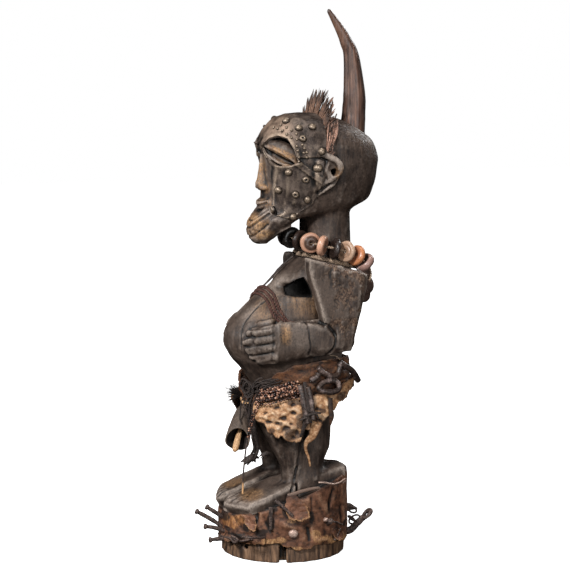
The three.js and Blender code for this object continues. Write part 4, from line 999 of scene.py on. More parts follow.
def carve_nose_and_mouth(wood):
    """A straight nose with a flat underside, and a long mouth of two plated lips under a toothed lip."""
    tip = tube_distance([spot(0, -37.5, 451), spot(0, -38.5, 455)], 4.4)
    wood.join(*FACE, tip, 3.0)
    wing = ball_distance(spot(10, -32, 449), (5, 8.5, 4.4))
    wood.join(*FACE, both_sides(wing), 2.0)
    nostril = ball_distance(spot(7, -36, 443.5), (2.6, 4.5, 2.6))
    wood.cut(*FACE, both_sides(nostril), 1.0)
    low, high = (-45, -72, 455), (45, 8, 540)
    lip = curve_through(spots_of(LIP_BLOCK), 14)
    wood.join(low, high, both_sides(tube_distance(lip, 8.0)), 2.5)

    def jaw(points):
        side = np.abs(points[..., 0])
        back = points[..., 1] - np.interp(side, *np.transpose(JAW_BACK))
        level = points[..., 2] - PLINTH_TOP - np.interp(side, *np.transpose(JAW_RISE))
        return np.maximum(0.75 * polygon_distance(JAW, back, level), side - 29)

    wood.join(low, high, jaw, 2.0)
    for line, half in MOUTH_LINES:
        line = along_surface(wood, curve_through(spots_of(line), 22), unit((0.35, -1, 0)), 12)
        wood.cut(low, high, both_sides(tube_distance(line, half)), 0.8)
    for x in TEETH:
        chip = [spot(x, -48 + 0.03 * x * x, 429), spot(x * 1.1, -42 + 0.03 * x * x, 415)]
        wood.cut(low, high, tube_distance(chip, 0.8), 0.7)


def carve_ears(wood):
    """A thick curled rim, a deep hollow with a hole, and a flat lobe in front."""
    def outside(points):
        away = polygon_distance(EAR_OUTSIDE, points[..., 1], points[..., 2] - PLINTH_TOP)
        return np.maximum(away, 61 - np.abs(points[..., 0]))

    wood.cut((-80, 30, 530), (80, 80, 612), outside, 1.5)
    line = curve_through(spots_of(EAR_LINE), 26)
    wood.join(*FACE, both_sides(tube_distance(line, np.linspace(4.6, 2.6, len(line)))), 2.5)
    hollow = ball_distance(spot(72, 51, 479), (9, 8, 11))
    wood.cut(*FACE, both_sides(hollow), 1.5)
    hole = tube_distance(np.array([spot(46, 55, 472), spot(80, 57, 473)]), 5.2)
    wood.cut(*FACE, both_sides(hole), 1.0)
    lobe = ball_distance(spot(59, 38, 476), (4.5, 7, 18))
    wood.join(*FACE, both_sides(lobe), 2.0)


# The fingers: y and height of each at its knuckle and at its tip
FINGERS = [(-42, 259, -66, 252.5), (-44, 248.5, -75, 242), (-44, 236.5, -77, 229), (-42, 223.5, -74, 215.5),
           (-40, 210.5, -62, 202.5)]
FINGER_GAPS = [(-42, 253.7, -76, 247.3), (-43, 242.5, -79, 235.5), (-43, 230, -78, 222.3),
               (-41, 217, -72, 209)]
HAND_SIDE = unit((0.8, -0.6, 0))
CUT_POINTS = 26  # on each line that is drawn on the wood
HAND = (20, -100, 282), (110, -20, 368)
ELBOW = [(16, 357), (33, 350), (45, 339), (48, 326), (44, 313), (34, 303)]
FOREARM_TOP = [(-40, 366), (-20, 357), (10, 353), (29, 348.5), (39, 342), (46, 334)]


def on_wood(wood, places, direction):
    """A line drawn on the wood through places that were chosen outside it."""
    return along_surface(wood, curve_through(places, CUT_POINTS), unit(direction), 30)


def carve_hands(wood):
    """Five long fingers with dark gaps, which come out from under the edge of the hand."""
    def finger_line(y, z, tip_y, tip_z):
        middle = spot(66, mixed(y, tip_y, 0.6), mixed(z, tip_z, 0.6))
        return on_wood(wood, [spot(74, y, z), middle, spot(56, tip_y, tip_z)], HAND_SIDE)

    for finger in FINGERS:
        line = finger_line(*finger) - HAND_SIDE * 4.3
        wood.join(*HAND, both_sides(tube_distance(line, np.linspace(6.2, 5.0, CUT_POINTS))), 1.2)
    for gap in FINGER_GAPS:
        line = finger_line(*gap)
        wood.cut(*HAND, both_sides(tube_distance(line, np.linspace(0.9, 1.7, CUT_POINTS))), 0.9)
    knuckles = on_wood(wood, [spot(76, -43, 262), spot(76, -41, 235), spot(74, -45, 202)], HAND_SIDE)
    wood.cut(*HAND, both_sides(tube_distance(knuckles, 0.9)), 1.5)
    back = on_wood(wood, [spot(78, -37, 260), spot(78, -35, 235), spot(76, -38, 205)], HAND_SIDE)
    wood.join(*HAND, both_sides(tube_distance(back - HAND_SIDE * 1.9, 2.6)), 3.0)


# The upper arm's front edge and the hollow beside it, painted black as shade, as y and height seen from the
# camera's side
ARM_FRONT = [(7.9, 352.5), (7.2, 336.5), (12.6, 314.6), (20.3, 295.4), (26.5, 273.2), (31.2, 254),
             (34, 238), (40, 222), (48, 212), (60, 210), (60, 339)]
HOLLOW = [(-22.2, 309.6), (-10.7, 314.9), (-1.5, 319.6), (8.5, 322), (15.5, 312), (20.5, 300), (22, 292.4),
          (-4.5, 294.9), (-19.1, 298.6)]
HOLLOW_AT, HOLLOW_END = 64, 14
SIGHT_BACK, SIGHT_DOWN = 0.364, 0.15  # how a line of sight goes back and down with each millimetre inward


def arm_front(points):
    """The left upper arm reaches further forward and down than its own solid."""
    side = points[..., 0]
    level = points[..., 2] - PLINTH_TOP
    edge = polygon_distance(ARM_FRONT, points[..., 1], level)
    return np.maximum.reduce([edge, side - np.interp(level, (212, 262), (85, 93.5)), 70 - side])


def under_arm(points):
    """The distance to a hollow that runs in along the line of sight, on both sides."""
    inward = HOLLOW_AT - np.abs(points[..., 0])
    back, level = points[..., 1] - SIGHT_BACK * inward, points[..., 2] - PLINTH_TOP + SIGHT_DOWN * inward
    return np.maximum(polygon_distance(HOLLOW, back, level), inward - (HOLLOW_AT - HOLLOW_END))


def carve_arms(wood):
    """The forearm narrows to a rounded elbow in front of the upper arm, and a hollow opens above it."""
    ys, zs = columns(FOREARM_TOP)

    def above(points):
        side = np.abs(points[..., 0])
        over = np.interp(points[..., 1], ys, zs) - points[..., 2]
        return np.maximum.reduce([over, 76 - side, points[..., 1] - 47, -45 - points[..., 1]])

    wood.cut((-110, -45, 325), (110, 48, 372), above, 4.0)
    wood.join((60, 0, 296), (97, 66, 452), arm_front, 1.6)
    elbow = on_wood(wood, [np.array((92, y, z)) for y, z in ELBOW], (1, 0, 0))
    wood.cut((60, 5, 290), (115, 60, 370), both_sides(tube_distance(elbow, 1.7)), 2.0)
    wood.cut((-100, -40, 375), (100, 60, 425), under_arm, 0.8)


# Old checks in the wood: places a little outside it, the direction they are seen from, and half widths
CRACKS = [
    ([(30, -42, 384), (28, -60, 370), (34, -80, 349), (41, -86, 334), (44, -88, 316)], (0.45, -0.8, 0.4),
     (2.3, 1.2)),
    ([(96, 2, 356), (96, 7, 349), (96, 9, 330), (96, 11, 318), (96, 9, 305)], (1, 0, 0), (1.4, 1.2)),
    ([(80, 6, 190), (80, 2.6, 170), (80, 0, 147), (80, -1.4, 134)], (1, 0, 0), (0.7, 1.5)),
    ([(84, -1.5, 136), (84, -4.8, 120), (84, -9.5, 108), (84, -12, 103)], (1, 0, 0), (2.2, 2.6)),
]
PLINTH_CHECKS = [(-42, 1.2), (-24, 1.7), (-3, 0.9), (14, 1.2), (-66, 1.0), (-80, 1.5), (40, 1.1), (95, 1.4),
                 (150, 1.2), (200, 1.5), (240, 1.1)]
TOE_GAPS = [17, 30, 43, 56]


def carve_cracks(wood):
    """Checks down the belly and forearm, gaps between the toes, and splits in the plinth's edge."""
    for places, direction, widths in CRACKS:
        line = on_wood(wood, np.array(places, float), direction)
        low, high = line.min(axis=0) - 8, line.max(axis=0) + 8
        wood.cut(low, high, tube_distance(line, np.linspace(*widths, CUT_POINTS)), 0.8)
    for x in TOE_GAPS:
        gap = curve_through([(x, -78, 90), (x, -90, 86), (x, -100, 80), (x, -104, 66)], 12)
        wood.cut((-80, -110, 60), (80, -70, 96), both_sides(tube_distance(gap, 2.0)), 2.0)
    for degrees, width in PLINTH_CHECKS:
        angle = math.radians(degrees)
        foot = np.array((math.cos(angle), math.sin(angle), 0)) * PLINTH_RADIUS
        line = curve_through([foot + (0, 0, -2), foot + (1.2, 1.2, 12), foot + (-0.8, 0.5, 30)], 10)
        wood.cut(foot - (8, 8, 3), foot + (8, 8, 34), tube_distance(line, width), 0.6)


def adze_marks(points):
    """Shallow cuts of the blade, and the wood's own slow warp."""
    cuts = np.abs(noise(points, (13, 13, 19), 3)) + 0.6 * np.abs(noise(points, (8, 8, 12), 4))
    warp = noise(points, 46, 5)
    grain = noise(points, (3.4, 3.4, 30), 6)
    return 0.55 * warp - 0.75 * cuts + 0.22 * grain + 0.3


def peeled(points):
    """How far the old crust on the left shoulder and arm has flaked, from 0 to 1."""
    there = soft_box(points, (84, 42, 330), (110, 90, 445), 16)
    there = there + soft_box(points, (84, 30, 418), (110, 80, 448), 14)
    flakes = noise(points, (6, 7, 9), 11) + 0.6 * noise(points, (3, 3.4, 4), 12)
    return np.clip(there, 0, 1) * eased((flakes + 0.25) * 1.6)


def carve_surface(wood):
    near = np.argwhere(np.abs(wood.field) < 4.2)
    points = ((near + wood.low) * wood.voxel).astype(np.float32)
    low_on_plinth = eased((points[:, 2] - 3) / 6)
    side = mirrored(points)
    hand = soft_box(side, (30, -100, 288), (100, -30, 362), 10)
    relief = adze_marks(points) * (1 - 0.6 * hand) - 0.8 * peeled(points)
    wood.field[tuple(near.T)] -= (relief * low_on_plinth).astype(np.float32)


EARTHY = [  # rubbed or painted ochre: middle, reach and strength
    ((6, -42, 566), (8, 16, 20), 1.0), ((14, -14, 521), (20, 26, 9), 0.5),
    ((0, -44, 492), (34, 16, 12), 0.9), ((0, -38, 477), (34, 16, 9), 0.85),
    ((84, -25, 338), (14, 7, 15), 0.75), ((12, -32, 543), (9, 11, 8), 0.8),
    ((56, 22, 380), (16, 30, 24), 0.4), ((40, -40, 372), (24, 22, 24), 0.35),
    ((66, 64, 566), (8, 8, 12), 0.8), ((42, -62, 93), (22, 18, 10), 0.6),
    ((30, -2, 582), (24, 20, 10), 0.35),
]
PAINTED_LIGHT_PLACES = [  # painted light on lit places of the chest, belly, hand, foot and forearm: middle, reach and strength
    ((22, -30, 414), (26, 26, 30), 1.0), ((30, -72, 372), (26, 24, 20), 0.75),
    ((78, -60, 326), (16, 24, 26), 0.25), ((60, -66, 104), (16, 44, 8), 0.35),
    ((88, -4, 332), (14, 20, 18), 0.25),
]


def strength_near(points, places):
    """How strongly some points are covered by places with a middle, a reach and a strength."""
    total = np.zeros(len(points))
    for middle, reach, strength in places:
        away = np.linalg.norm((points - np.array(middle)) / np.array(reach), axis=1)
        total = np.maximum(total, strength * eased(1.6 - 1.1 * away))
    return total


def wood_masks(wood, points):
    bent = wood.at(points, blurred(wood.field, 2.0)) - wood.at(points)
    side = mirrored(points)
    lid = np.linalg.norm((in_eye(side) - (-1, 4.5, 9)) / (21, 4.5, 7), axis=1)
    earth = np.maximum(strength_near(side, EARTHY), 0.95 * eased(1.7 - 1.1 * lid))
    edge = eased((34 - points[:, 2]) / 5)
    # painted shade: near black in the wood's hollows and in the hollow under each arm
    painted_shade = np.clip((-bent - 0.12) / 0.6, 0, 1)
    painted_shade = np.maximum(painted_shade, 0.97 * eased((1.6 - under_arm(points)) / 1.2))
    hand = soft_box(side, (30, -100, 288), (100, -30, 362), 10)
    # wear and painted highlight on the ridges, and painted light on the lit chest, belly, hand, forearm and
    # feet
    ridges = np.clip((bent - 0.2) / 0.6, 0, 1) * (1 - 0.35 * hand)
    worn = np.maximum(ridges, strength_near(side, PAINTED_LIGHT_PLACES)) * eased((under_arm(points) - 2) / 5)
    return {"worn": worn, "sooty": painted_shade, "earth": earth, "bare": edge, "flaked": peeled(points)}


WOOD_SIMPLER, SHEET_SIMPLER = 0.03, 0.02  # how far flat places may lose faces, from 0 to 1


def carved_figure():
    wood = Carving("carved_figure")
    smoothed_wood(wood)
    carve_eyes(wood)
    carve_nose_and_mouth(wood)
    carve_ears(wood)
    carve_arms(wood)
    carve_hands(wood)
    carve_cracks(wood)
    carve_surface(wood)
    points, faces = wood.surface(WOOD_SIMPLER)
    made = piece("carved_wood_figure", (points, faces), smoked_hardwood(), "carved_wood",
                 ["carved_figure"], masks=wood_masks(wood, points))
    return made, wood


figure, WOOD = carved_figure()
FIGURE_TREE = surface_tree(figure)


# The head's metal, tacks, horn and feathers

SHEET_THICKNESS = 1.5
SHEET_VOXEL = 0.95
SHEET_REAR = spot(0, 45, 510)
SHEET_REAR_TILT = math.pi / 2 - 0.16
SHEET_FOOT = [(-45, 410), (-24, 409), (-3, 405), (27, 426), (38, 446), (50, 472)]  # y and height
SHEET_FRONT = [(385, 38), (410, 33), (444, 25), (480, 21), (497, 15)]  # height and x
TACK_RADIUS, TACK_SIDES = 5.5, 18
TACKS = [  # x, y and z on the left side of the head
    (22, -5.4, 548), (40, 6.5, 541.7), (42, 28, 543.6), (51, 8.2, 527.3), (60, 33, 506), (59, 17.4, 480.7),
    (60, 30, 480.6), (43, -14.5, 472.7), (55, 12.8, 460.3), (32, -24.5, 446.7), (47, -1.8, 439.6),
    (51, 18.4, 430.3), (32, -29, 417.7), (41, -1.7, 409.8),
]
STUD_RADIUS, STUD_SIDES = 2.25, 10
STUDS = [
    (17, -22, 537), (23, -19, 536), (29, -15, 535), (36, -11, 531), (42, -6, 527), (47, 1, 524),
    (51, 0, 513), (53, 2, 506), (54, 7, 501), (22, -14, 541), (30, -9, 540), (37, -4, 537), (43, 2, 532),
    (49, 7, 529), (54, 6, 517), (55, 9, 508), (56, 12, 502), (55, 6, 495), (52, 1, 491), (56, 12, 494),
]


def plane_distance(points, place, tilt):
    """Distances above a plane that is tilted about X."""
    return (points - place) @ np.array((0, -math.sin(tilt), math.cos(tilt)))


def sheet_region(points):
    """Signed distances from the area that the metal covers, negative inside."""
    side = mirrored(points)
    wavy = 0.9 * noise(points, 9, 21)
    rear = -plane_distance(points, SHEET_REAR, SHEET_REAR_TILT) + wavy
    height = points[..., 2] - PLINTH_TOP
    foot = 0.8 * (np.interp(points[..., 1], *np.transpose(SHEET_FOOT)) - height) + wavy
    free = np.interp(height, *np.transpose(SHEET_FRONT)) + 0.8 * wavy
    middle = np.minimum(free - side[..., 0], 500 - height)
    local = in_eye(side)
    eye = -(polygon_distance(np.array(SOCKET, float) * 1.04, local[..., 0], local[..., 1]))
    eye = np.where(local[..., 2] > -22, eye, -99)
    ear = -tube_distance(curve_through(spots_of(EAR_LINE), 12), np.linspace(6.6, 3.6, 12))(side)
    return np.maximum.reduce([rear, foot, middle, eye, ear])


def sheet_relief(points):
    """Laps of the three sheets, upright folds in the cheek, and dents."""
    side = mirrored(points)
    y, z = side[..., 1], side[..., 2] - PLINTH_TOP
    brow = eased((z - 494 - 0.04 * (y - 20)) / 1.2) * 1.2
    strip = np.abs((z - 487) + 0.78 * (y - 3)) < 5.5
    lap = np.where(strip & (y > 0) & (z < 494), 1.1, 0)
    folds = 0
    for place, width, rise in ((-24, 1.9, 1.5), (-9, 3.4, 0.8), (14, 4.0, 0.3), (29, 2.4, 0.6)):
        shift = y - place - 0.06 * (z - 450)
        folds = folds + rise * np.exp(-((shift / width) ** 2))
    dents = 0.6 * noise(points, 21, 22) + 0.16 * noise(points, 8, 23)
    dents = dents - 0.12 * np.abs(noise(points, (5, 5, 11), 24))
    return brow + lap + np.where(z < 490, folds, 0) + dents + 0.3


def beaten_sheet():
    """The metal follows the carved head, a little proud of it."""
    fine = WOOD.finer((-68, -46, 488), (68, 66, 656), SHEET_VOXEL)
    _, points = fine.everywhere()
    height = fine.field
    region = sheet_region(points)
    outer = height - SHEET_THICKNESS - sheet_relief(points)
    rolled = 0.7 * eased(1 - np.abs(region + 1.2) / 1.2)
    fine.field = np.maximum.reduce([outer - rolled, -(height + 0.9), region]).astype(np.float32)
    form, faces = fine.surface(SHEET_SIMPLER)
    bent = fine.at(form, blurred(outer.astype(np.float32), 2.6)) - fine.at(form, outer)
    edge = fine.at(form, region)
    # Rubbed ridges and rims with a painted highlight, painted shade in the hollows, and painted light on
    # the upper front of the brow.
    masks = {
        "worn": 0.6 * np.clip((bent - 0.12) / 0.4, 0, 1), "sooty": np.clip((-bent - 0.04) / 0.3, 0, 1),
        "warm": eased((form[:, 2] - spot(0, 0, 500)[2]) / 40) * eased((10 - form[:, 1]) / 24),
    }
    masks["worn"] = np.maximum(masks["worn"], 0.5 * eased((edge + 1.6) / 1.2) * (noise(form, 6, 25) > -0.1))
    return piece("beaten_face_metal", (form, faces), blackened_metal(), "face_metal", ["face_sheet"],
                 masks=masks)


def dome(place, normal, radius, profile, sides=TACK_SIDES, seed=0):
    """A turned head on a surface, from pairs of radius share and height in millimetres."""
    angle, ring = spokes(place, normal, sides)
    wobble = 1 + 0.05 * np.sin(2 * angle + seed) + 0.03 * np.sin(5 * angle + 2 * seed)
    rings = [place + ring * (share * radius * wobble)[:, None] + normal * height
             for share, height, *_ in profile]
    return skin_of(rings)


TACK_PROFILE = [  # share of the radius, height, how rubbed and lit by a painted highlight it is there, and how dark with painted shade
    (1.0, -1.2, 0, 1), (1.08, 0.3, 0, 1), (1.0, 1.4, 0.1, 0.5), (0.82, 3.0, 0.5, 0), (0.56, 4.2, 1, 0),
    (0.34, 4.7, 1, 0), (0.22, 4.9, 0.9, 0), (0.1, 5.0, 0.9, 0),
]
PIERCED_PROFILE = [*TACK_PROFILE[:4], (0.62, 4.0, 1, 0), (0.38, 4.4, 1, 0), (0.26, 3.4, 0, 1),
                   (0.1, 2.4, 0, 1)]
PIERCED_TACKS = (3, 8, 10, 12)
STUD_PROFILE = [(1.0, -1.0, 0, 1), (1.0, 0.6, 0.2, 0.5), (0.8, 1.6, 0.7, 0), (0.4, 2.2, 1, 0),
                (0.1, 2.3, 1, 0)]


def dome_masks(profiles, sides):
    worn, sooty = np.vstack(profiles).T[2:]
    # The crowns carry a painted highlight; the feet and the holes carry painted shade.
    return {"crown": np.repeat(worn, sides), "sooty": np.repeat(sooty, sides)}


def tacks_and_studs(sheet):
    tree = surface_tree(sheet)
    heads, studs, cuts = [], [], []
    for side in (1, -1):
        for number, (x, y, z) in enumerate(TACKS):
            place, normal = nearest_spot(tree, spot(x * side * 1.25, y, z))
            cuts.append(PIERCED_PROFILE if number in PIERCED_TACKS else TACK_PROFILE)
            heads.append(dome(place, normal, TACK_RADIUS, cuts[-1], seed=number))
        for number, (x, y, z) in enumerate(STUDS):
            place, normal = nearest_spot(tree, spot(x * side * 1.25, y, z))
            studs.append(dome(place, normal, STUD_RADIUS, STUD_PROFILE, STUD_SIDES, number))
    piece("face_tacks", joined_parts(heads), worn_brass(), "face_metal", ["face_sheet"],
          masks=dome_masks(cuts, TACK_SIDES))
    piece("face_studs", joined_parts(studs), worn_brass(), "face_metal", ["face_sheet"],
          masks=dome_masks([STUD_PROFILE] * len(studs), STUD_SIDES))
    point = tube(np.array([spot(0, -38 - 7 * t, 513 + 1.5 * t) for t in (0, 0.5, 1)]), [3.4, 2.2, 0.5], 10)
    piece("forehead_point", point, blackened_metal(), "face_metal")


HORN_LINE = [(109, 0), (112, 0.3), (107, 0.62), (98.5, 0.74), (90, 0.83), (70, 1)]
HORN_HALVES = [19, 17, 12, 9.5, 7.6, 3.2]
HORN_FOOT, HORN_TIP = 524, 706
HORN_POINTS, HORN_SIDES = 150, 56


def horn():
    """An antelope's horn, slightly grooved along its length and rough at the root."""
    line = curve_through([spot(0, y, mixed(HORN_FOOT, HORN_TIP, t)) for y, t in HORN_LINE], HORN_POINTS)
    share = (line[:, 2] - line[0, 2]) / (line[-1, 2] - line[0, 2])
    half = np.interp(share, [t for _, t in HORN_LINE], HORN_HALVES)
    tip = np.clip((line[-1, 2] - line[:, 2]) / 4.0, 0, 1)
    half = blurred_line(half, 5) * np.sqrt(np.maximum(1 - (1 - tip) ** 2, 0.01))
    across, over = carried_frames(line, first=(0, -1, 0))
    angle = circle(HORN_SIDES)
    ring = np.cos(angle)[None, :, None] * across[:, None] * 0.92
    ring = ring + np.sin(angle)[None, :, None] * over[:, None]
    grooves = 0.28 * np.sin(angle * 17)[None, :] + 0.2 * np.sin(angle * 29 + 1)[None, :]
    grooves = grooves * np.clip(half / 14, 0.05, 1)[:, None] ** 2
    rough = noise(line[:, None, :] + ring * half[:, None, None], (4, 4, 9), 31)
    rough = rough * (0.5 * (1 - share) ** 2)[:, None]
    rings = line[:, None, :] + ring * (half[:, None] + grooves + rough - 0.4)[..., None]
    # Painted shade on the horn's rear side and along its front edge, and a darker tip.
    rear = np.clip((rings - line[:, None]) @ np.array((0, 1, 0)) / half[:, None], -1, 1)
    dark = np.maximum(eased((rear - 0.35) / 0.6), 0.8 * eased((-rear - 0.75) / 0.3))
    dark = np.maximum(dark, eased((share[:, None] - 0.9) / 0.15))
    piece("antelope_horn", skin_of(rings), antelope_horn(), "horn", ["horn"], masks={"dark": dark.ravel()})


def blurred_line(values, steps):
    padded = np.pad(values, steps, mode="edge")
    return np.convolve(padded, np.ones(2 * steps + 1) / (2 * steps + 1), mode="valid")


CREST_MIDDLE = spot(0, 50, 488)
CREST_RADIUS = 64.0
CREST_HEIGHTS = [4, 8, 16, 28, 38, 38, 39, 34, 27, 21, 14]
CREST_LEAN = 0.3
FEATHERS, FEATHER_POINTS = 190, 12


def feather(angle, reach, width, lift, seed):
    """A flat barbed strip that stands out of the crest's foot, bent a little back, with an oblique tip."""
    t = np.linspace(0, 1, FEATHER_POINTS)
    rng = np.random.default_rng(seed)
    sway, curl = rng.uniform(-0.12, 0.12), rng.uniform(-2, 4)
    along = -7 + (reach + 7) * t
    turn = angle + sway * t**2 * reach / CREST_RADIUS
    out = np.stack([np.cos(turn), np.zeros(FEATHER_POINTS), np.sin(turn)], axis=1)
    line = CREST_MIDDLE + out * (CREST_RADIUS + along)[:, None]
    line[:, 1] += np.maximum(along, 0) * CREST_LEAN + lift + curl * t**2
    taper = width * (0.7 + 0.35 * np.sin(math.pi * t)) * np.where(t > 0.94, 0.35, 1)
    taper = taper * (1 + 0.14 * rng.uniform(-1, 1, FEATHER_POINTS))
    return tube(line, taper, 6, flat=0.16, first=(rng.uniform(-0.5, 0.5), 1, 0))


# Long strands lie up the head behind the left edge of the metal: foot and tip
STRAND_FOOT, STRAND_TIP = spot(62, 45, 500), spot(50, 60, 546)
STRANDS = 15
# Feathers that stand alone in front of the fan: foot, and how far they rise
LONE_FEATHERS = [(34, 56, 540, 30), (28, 60, 543, 32), (22, 62, 545, 27), (40, 60, 536, 20)]


def strand(number, rng):
    """A long narrow strand along the head, fixed near the ear and bent outward."""
    share = number / (STRANDS - 1)
    foot = STRAND_FOOT + rng.normal(0, 0.6, 3)
    tip = STRAND_TIP + (-8 * share, 20 * share - 9, 10 * share - 4) + rng.normal(0, 1.2, 3)
    tip[2] += rng.uniform(-9, 3)
    middle = mixed(foot, tip, 0.5) + (6 + rng.uniform(-2, 3), 6 * share - 3, 1)
    line = curve_through([foot, middle, tip], FEATHER_POINTS)
    width = varied(FEATHER_POINTS, (0, 0.4, 0.85, 1), (0.6, 1, 0.9, 0.25))
    width = rng.uniform(0.8, 1.5) * width
    return tube(line, width, 6, flat=0.4, first=(1, 0, 0))


def crest():
    """Stiff feather strips side by side, brown with dark tips in front and paler behind and at the side."""
    rng = np.random.default_rng(41)
    front, rear = [], []
    for number in range(FEATHERS):
        share = (number + 0.5) / FEATHERS
        angle = mixed(0.13, math.pi - 0.1, share)
        reach = np.interp(share * len(CREST_HEIGHTS), np.arange(len(CREST_HEIGHTS)) + 0.5, CREST_HEIGHTS)
        reach = reach * rng.choice((0.78, 0.88, 0.97, 1.04))
        lift = rng.uniform(-4.5, 2.5)
        form = feather(angle, reach, rng.uniform(1.7, 2.9), lift, 100 + number)
        (front if lift < 0.5 else rear).append(form)
    for number, (*foot, rise) in enumerate(LONE_FEATHERS):
        foot = spot(*foot)
        line = curve_through([foot, foot + (1, 4, 0.5 * rise), foot + (2, 5 + number, rise)], 10)
        front.append(tube(line, np.linspace(1.9, 0.8, 10), 6, flat=0.3, first=(1, 0, 0)))
    for number in range(STRANDS):
        (front if number % 3 == 1 else rear).append(strand(number, rng))
    tip = np.repeat(eased((np.linspace(0, 1, FEATHER_POINTS) - 0.45) / 0.5), 6)
    for name, forms, finish_of in (("front", front, brown_feather), ("rear", rear, pale_feather)):
        points = sum(len(form[0]) for form in forms)
        masks = {"tip": np.resize(tip, points)}
        piece(f"feather_crest_{name}", joined_parts(forms), finish_of(), "feathers", ["feather_crest"],
              masks=masks)


tacks_and_studs(beaten_sheet())
horn()
crest()


# Ropes, seeds and cords round the body and neck


SETTLE_REACH, SETTLE_ROUNDS = 9.0, 2


def settled(path, lift):
    """A closed path laid on the carving: each point near the wood is set above it, and the rest stay."""
    path = np.array(path, float)
    middle = np.append(path.mean(axis=0)[:2], 0)
    for i, point in enumerate(path):
        place, normal = nearest_spot(FIGURE_TREE, point)
        outward = unit((point - middle) * (1, 1, 0))
        if np.linalg.norm(point - place) < SETTLE_REACH and normal @ outward > 0.3:
            path[i] = place + normal * lift
    for _ in range(SETTLE_ROUNDS):
        path = 0.25 * np.roll(path, 1, axis=0) + 0.5 * path + 0.25 * np.roll(path, -1, axis=0)
    return path


ROPE_LINE = [(-90, 299), (-65, 295), (-42, 281), (-24, 264), (-4, 249), (18, 244), (45, 244), (90, 246)]
ROPE_RADIUS = 2.4
ROPE_STRANDS = 3
ROPE_SEAT = 1.4
TORSO_STEPS = 16


def rope_path(rise):
    """One strand's line round the chest and through the armpits, on the torso's flat steps."""
    turns = np.sort([((i + 0.5) / TORSO_STEPS * 360 + 90) % 360 - 90 for i in range(TORSO_STEPS)])
    heights = table_at(ROPE_LINE, np.where(turns <= 90, turns, 180 - turns)) + rise
    corners = on_form(TORSO, TORSO_SQUARE, turns, heights, ROPE_SEAT + ROPE_RADIUS)
    loop = np.vstack([corners, corners[:1]])
    return places_along(loop, np.arange(TORSO_STEPS + 1), np.arange(0, TORSO_STEPS, 0.1))


def breast_rope():
    strands = []
    for strand in range(ROPE_STRANDS):
        rise = (strand - (ROPE_STRANDS - 1) / 2) * 2 * ROPE_RADIUS
        path = settled(rope_path(rise), ROPE_RADIUS * 0.85)
        strands.append(twisted(path, ROPE_RADIUS * 1.05, 2, 9, joined=True, sides=7, fuzz=0.35,
                               seed=50 + strand))
    piece("breast_rope_strands", joined_parts(strands), red_fibre(), "dark_cord", ["breast_rope"])


NECKLACE_LINE = [
    (0, 7, 374), (13, 10, 374), (31, 20, 371), (48, 40, 366), (56, 74, 357), (50, 100, 347),
    (51, 118, 325), (50, 114, 304), (36, 104, 286), (0, 94, 277),
]
NECKLACE_RADIUS = 2.0
SEED_RADIUS = 15.5
SEED_HALF = 6.5
SEED_BORE = 2.5
SEED_SIDES = 48


def necklace_cord():
    near = spots_of(NECKLACE_LINE)
    far = [place * (-1, 1, 1) for place in near[-2:0:-1]]
    path = curve_through(near + far, 240, joined=True)
    form = twisted(path, NECKLACE_RADIUS, 2, 7, joined=True, sides=7, fuzz=0.2, seed=60)
    piece("twisted_necklace_cord", form, pale_fibre(), "pale_cord", ["necklace_cord"])


def seed_axis(node):
    """The middle of a plain seed, and the direction of its bore."""
    points = mesh_arrays(node)[0].astype(float)
    middle = points.mean(axis=0)
    rims = points - middle
    far = rims[np.linalg.norm(rims, axis=1) > 0.8 * SEED_RADIUS]
    return middle, np.linalg.svd(far)[2][2]


# Each seed's edge and face colours, the cut of its faces, and its share of the full thickness
# seed_02 and seed_05 are painted near black to stand for the shade they sit in.
SEEDS = {
    "seed_01": (("#171311", "#100d0c"), "smooth", 1.0), "seed_02": (("#2e211c", "#1b1411"), "smooth", 0.6),
    "seed_03": (("#b48870", "#2b211d"), "domed", 0.8), "seed_04": (("#c0937a", "#7d5543"), "smooth", 0.8),
    "seed_05": (("#2a1f1b", "#1a1310"), "smooth", 0.7), "seed_06": (("#b0917a", "#8f705a"), "marked", 0.7),
    "seed_07": (("#b5764f", "#7d4a33"), "smooth", 0.8), "seed_08": (("#94746a", "#1d1614"), "dished", 0.9),
    "seed_09": (("#3a2d28", "#241c19"), "dished", 0.8), "seed_10": (("#1c1614", "#120f0d"), "smooth", 0.9),
    "seed_11": (("#a8714a", "#6a452e"), "smooth", 0.7),
}
# How far a loose seed has swung on its cord towards the camera's side, as a share
FACING = {"seed_01": 0.35, "seed_03": 0.72, "seed_04": 0.2, "seed_05": 0.2, "seed_06": 0.5, "seed_07": 0.3,
          "seed_08": 0.2}
SWING_TO = np.array((0.93, -0.36, 0.05))
SEED_PROFILES = {  # share of the radius, and of the half thickness
    "smooth": [(0.16, 0.72), (0.45, 0.96), (0.7, 1.0), (0.88, 0.8), (0.98, 0.42), (1.0, 0.0)],
    "dished": [(0.16, 0.3), (0.4, 0.44), (0.62, 0.6), (0.74, 0.95), (0.86, 0.94), (0.97, 0.5), (1.0, 0.0)],
    "domed": [(0.16, 1.1), (0.4, 1.08), (0.66, 0.9), (0.74, 0.62), (0.86, 0.72), (0.98, 0.45), (1.0, 0.0)],
    "marked": [(0.16, 0.5), (0.2, 0.9), (0.55, 1.0), (0.6, 0.84), (0.66, 1.0), (0.9, 0.86), (1.0, 0.0)],
}


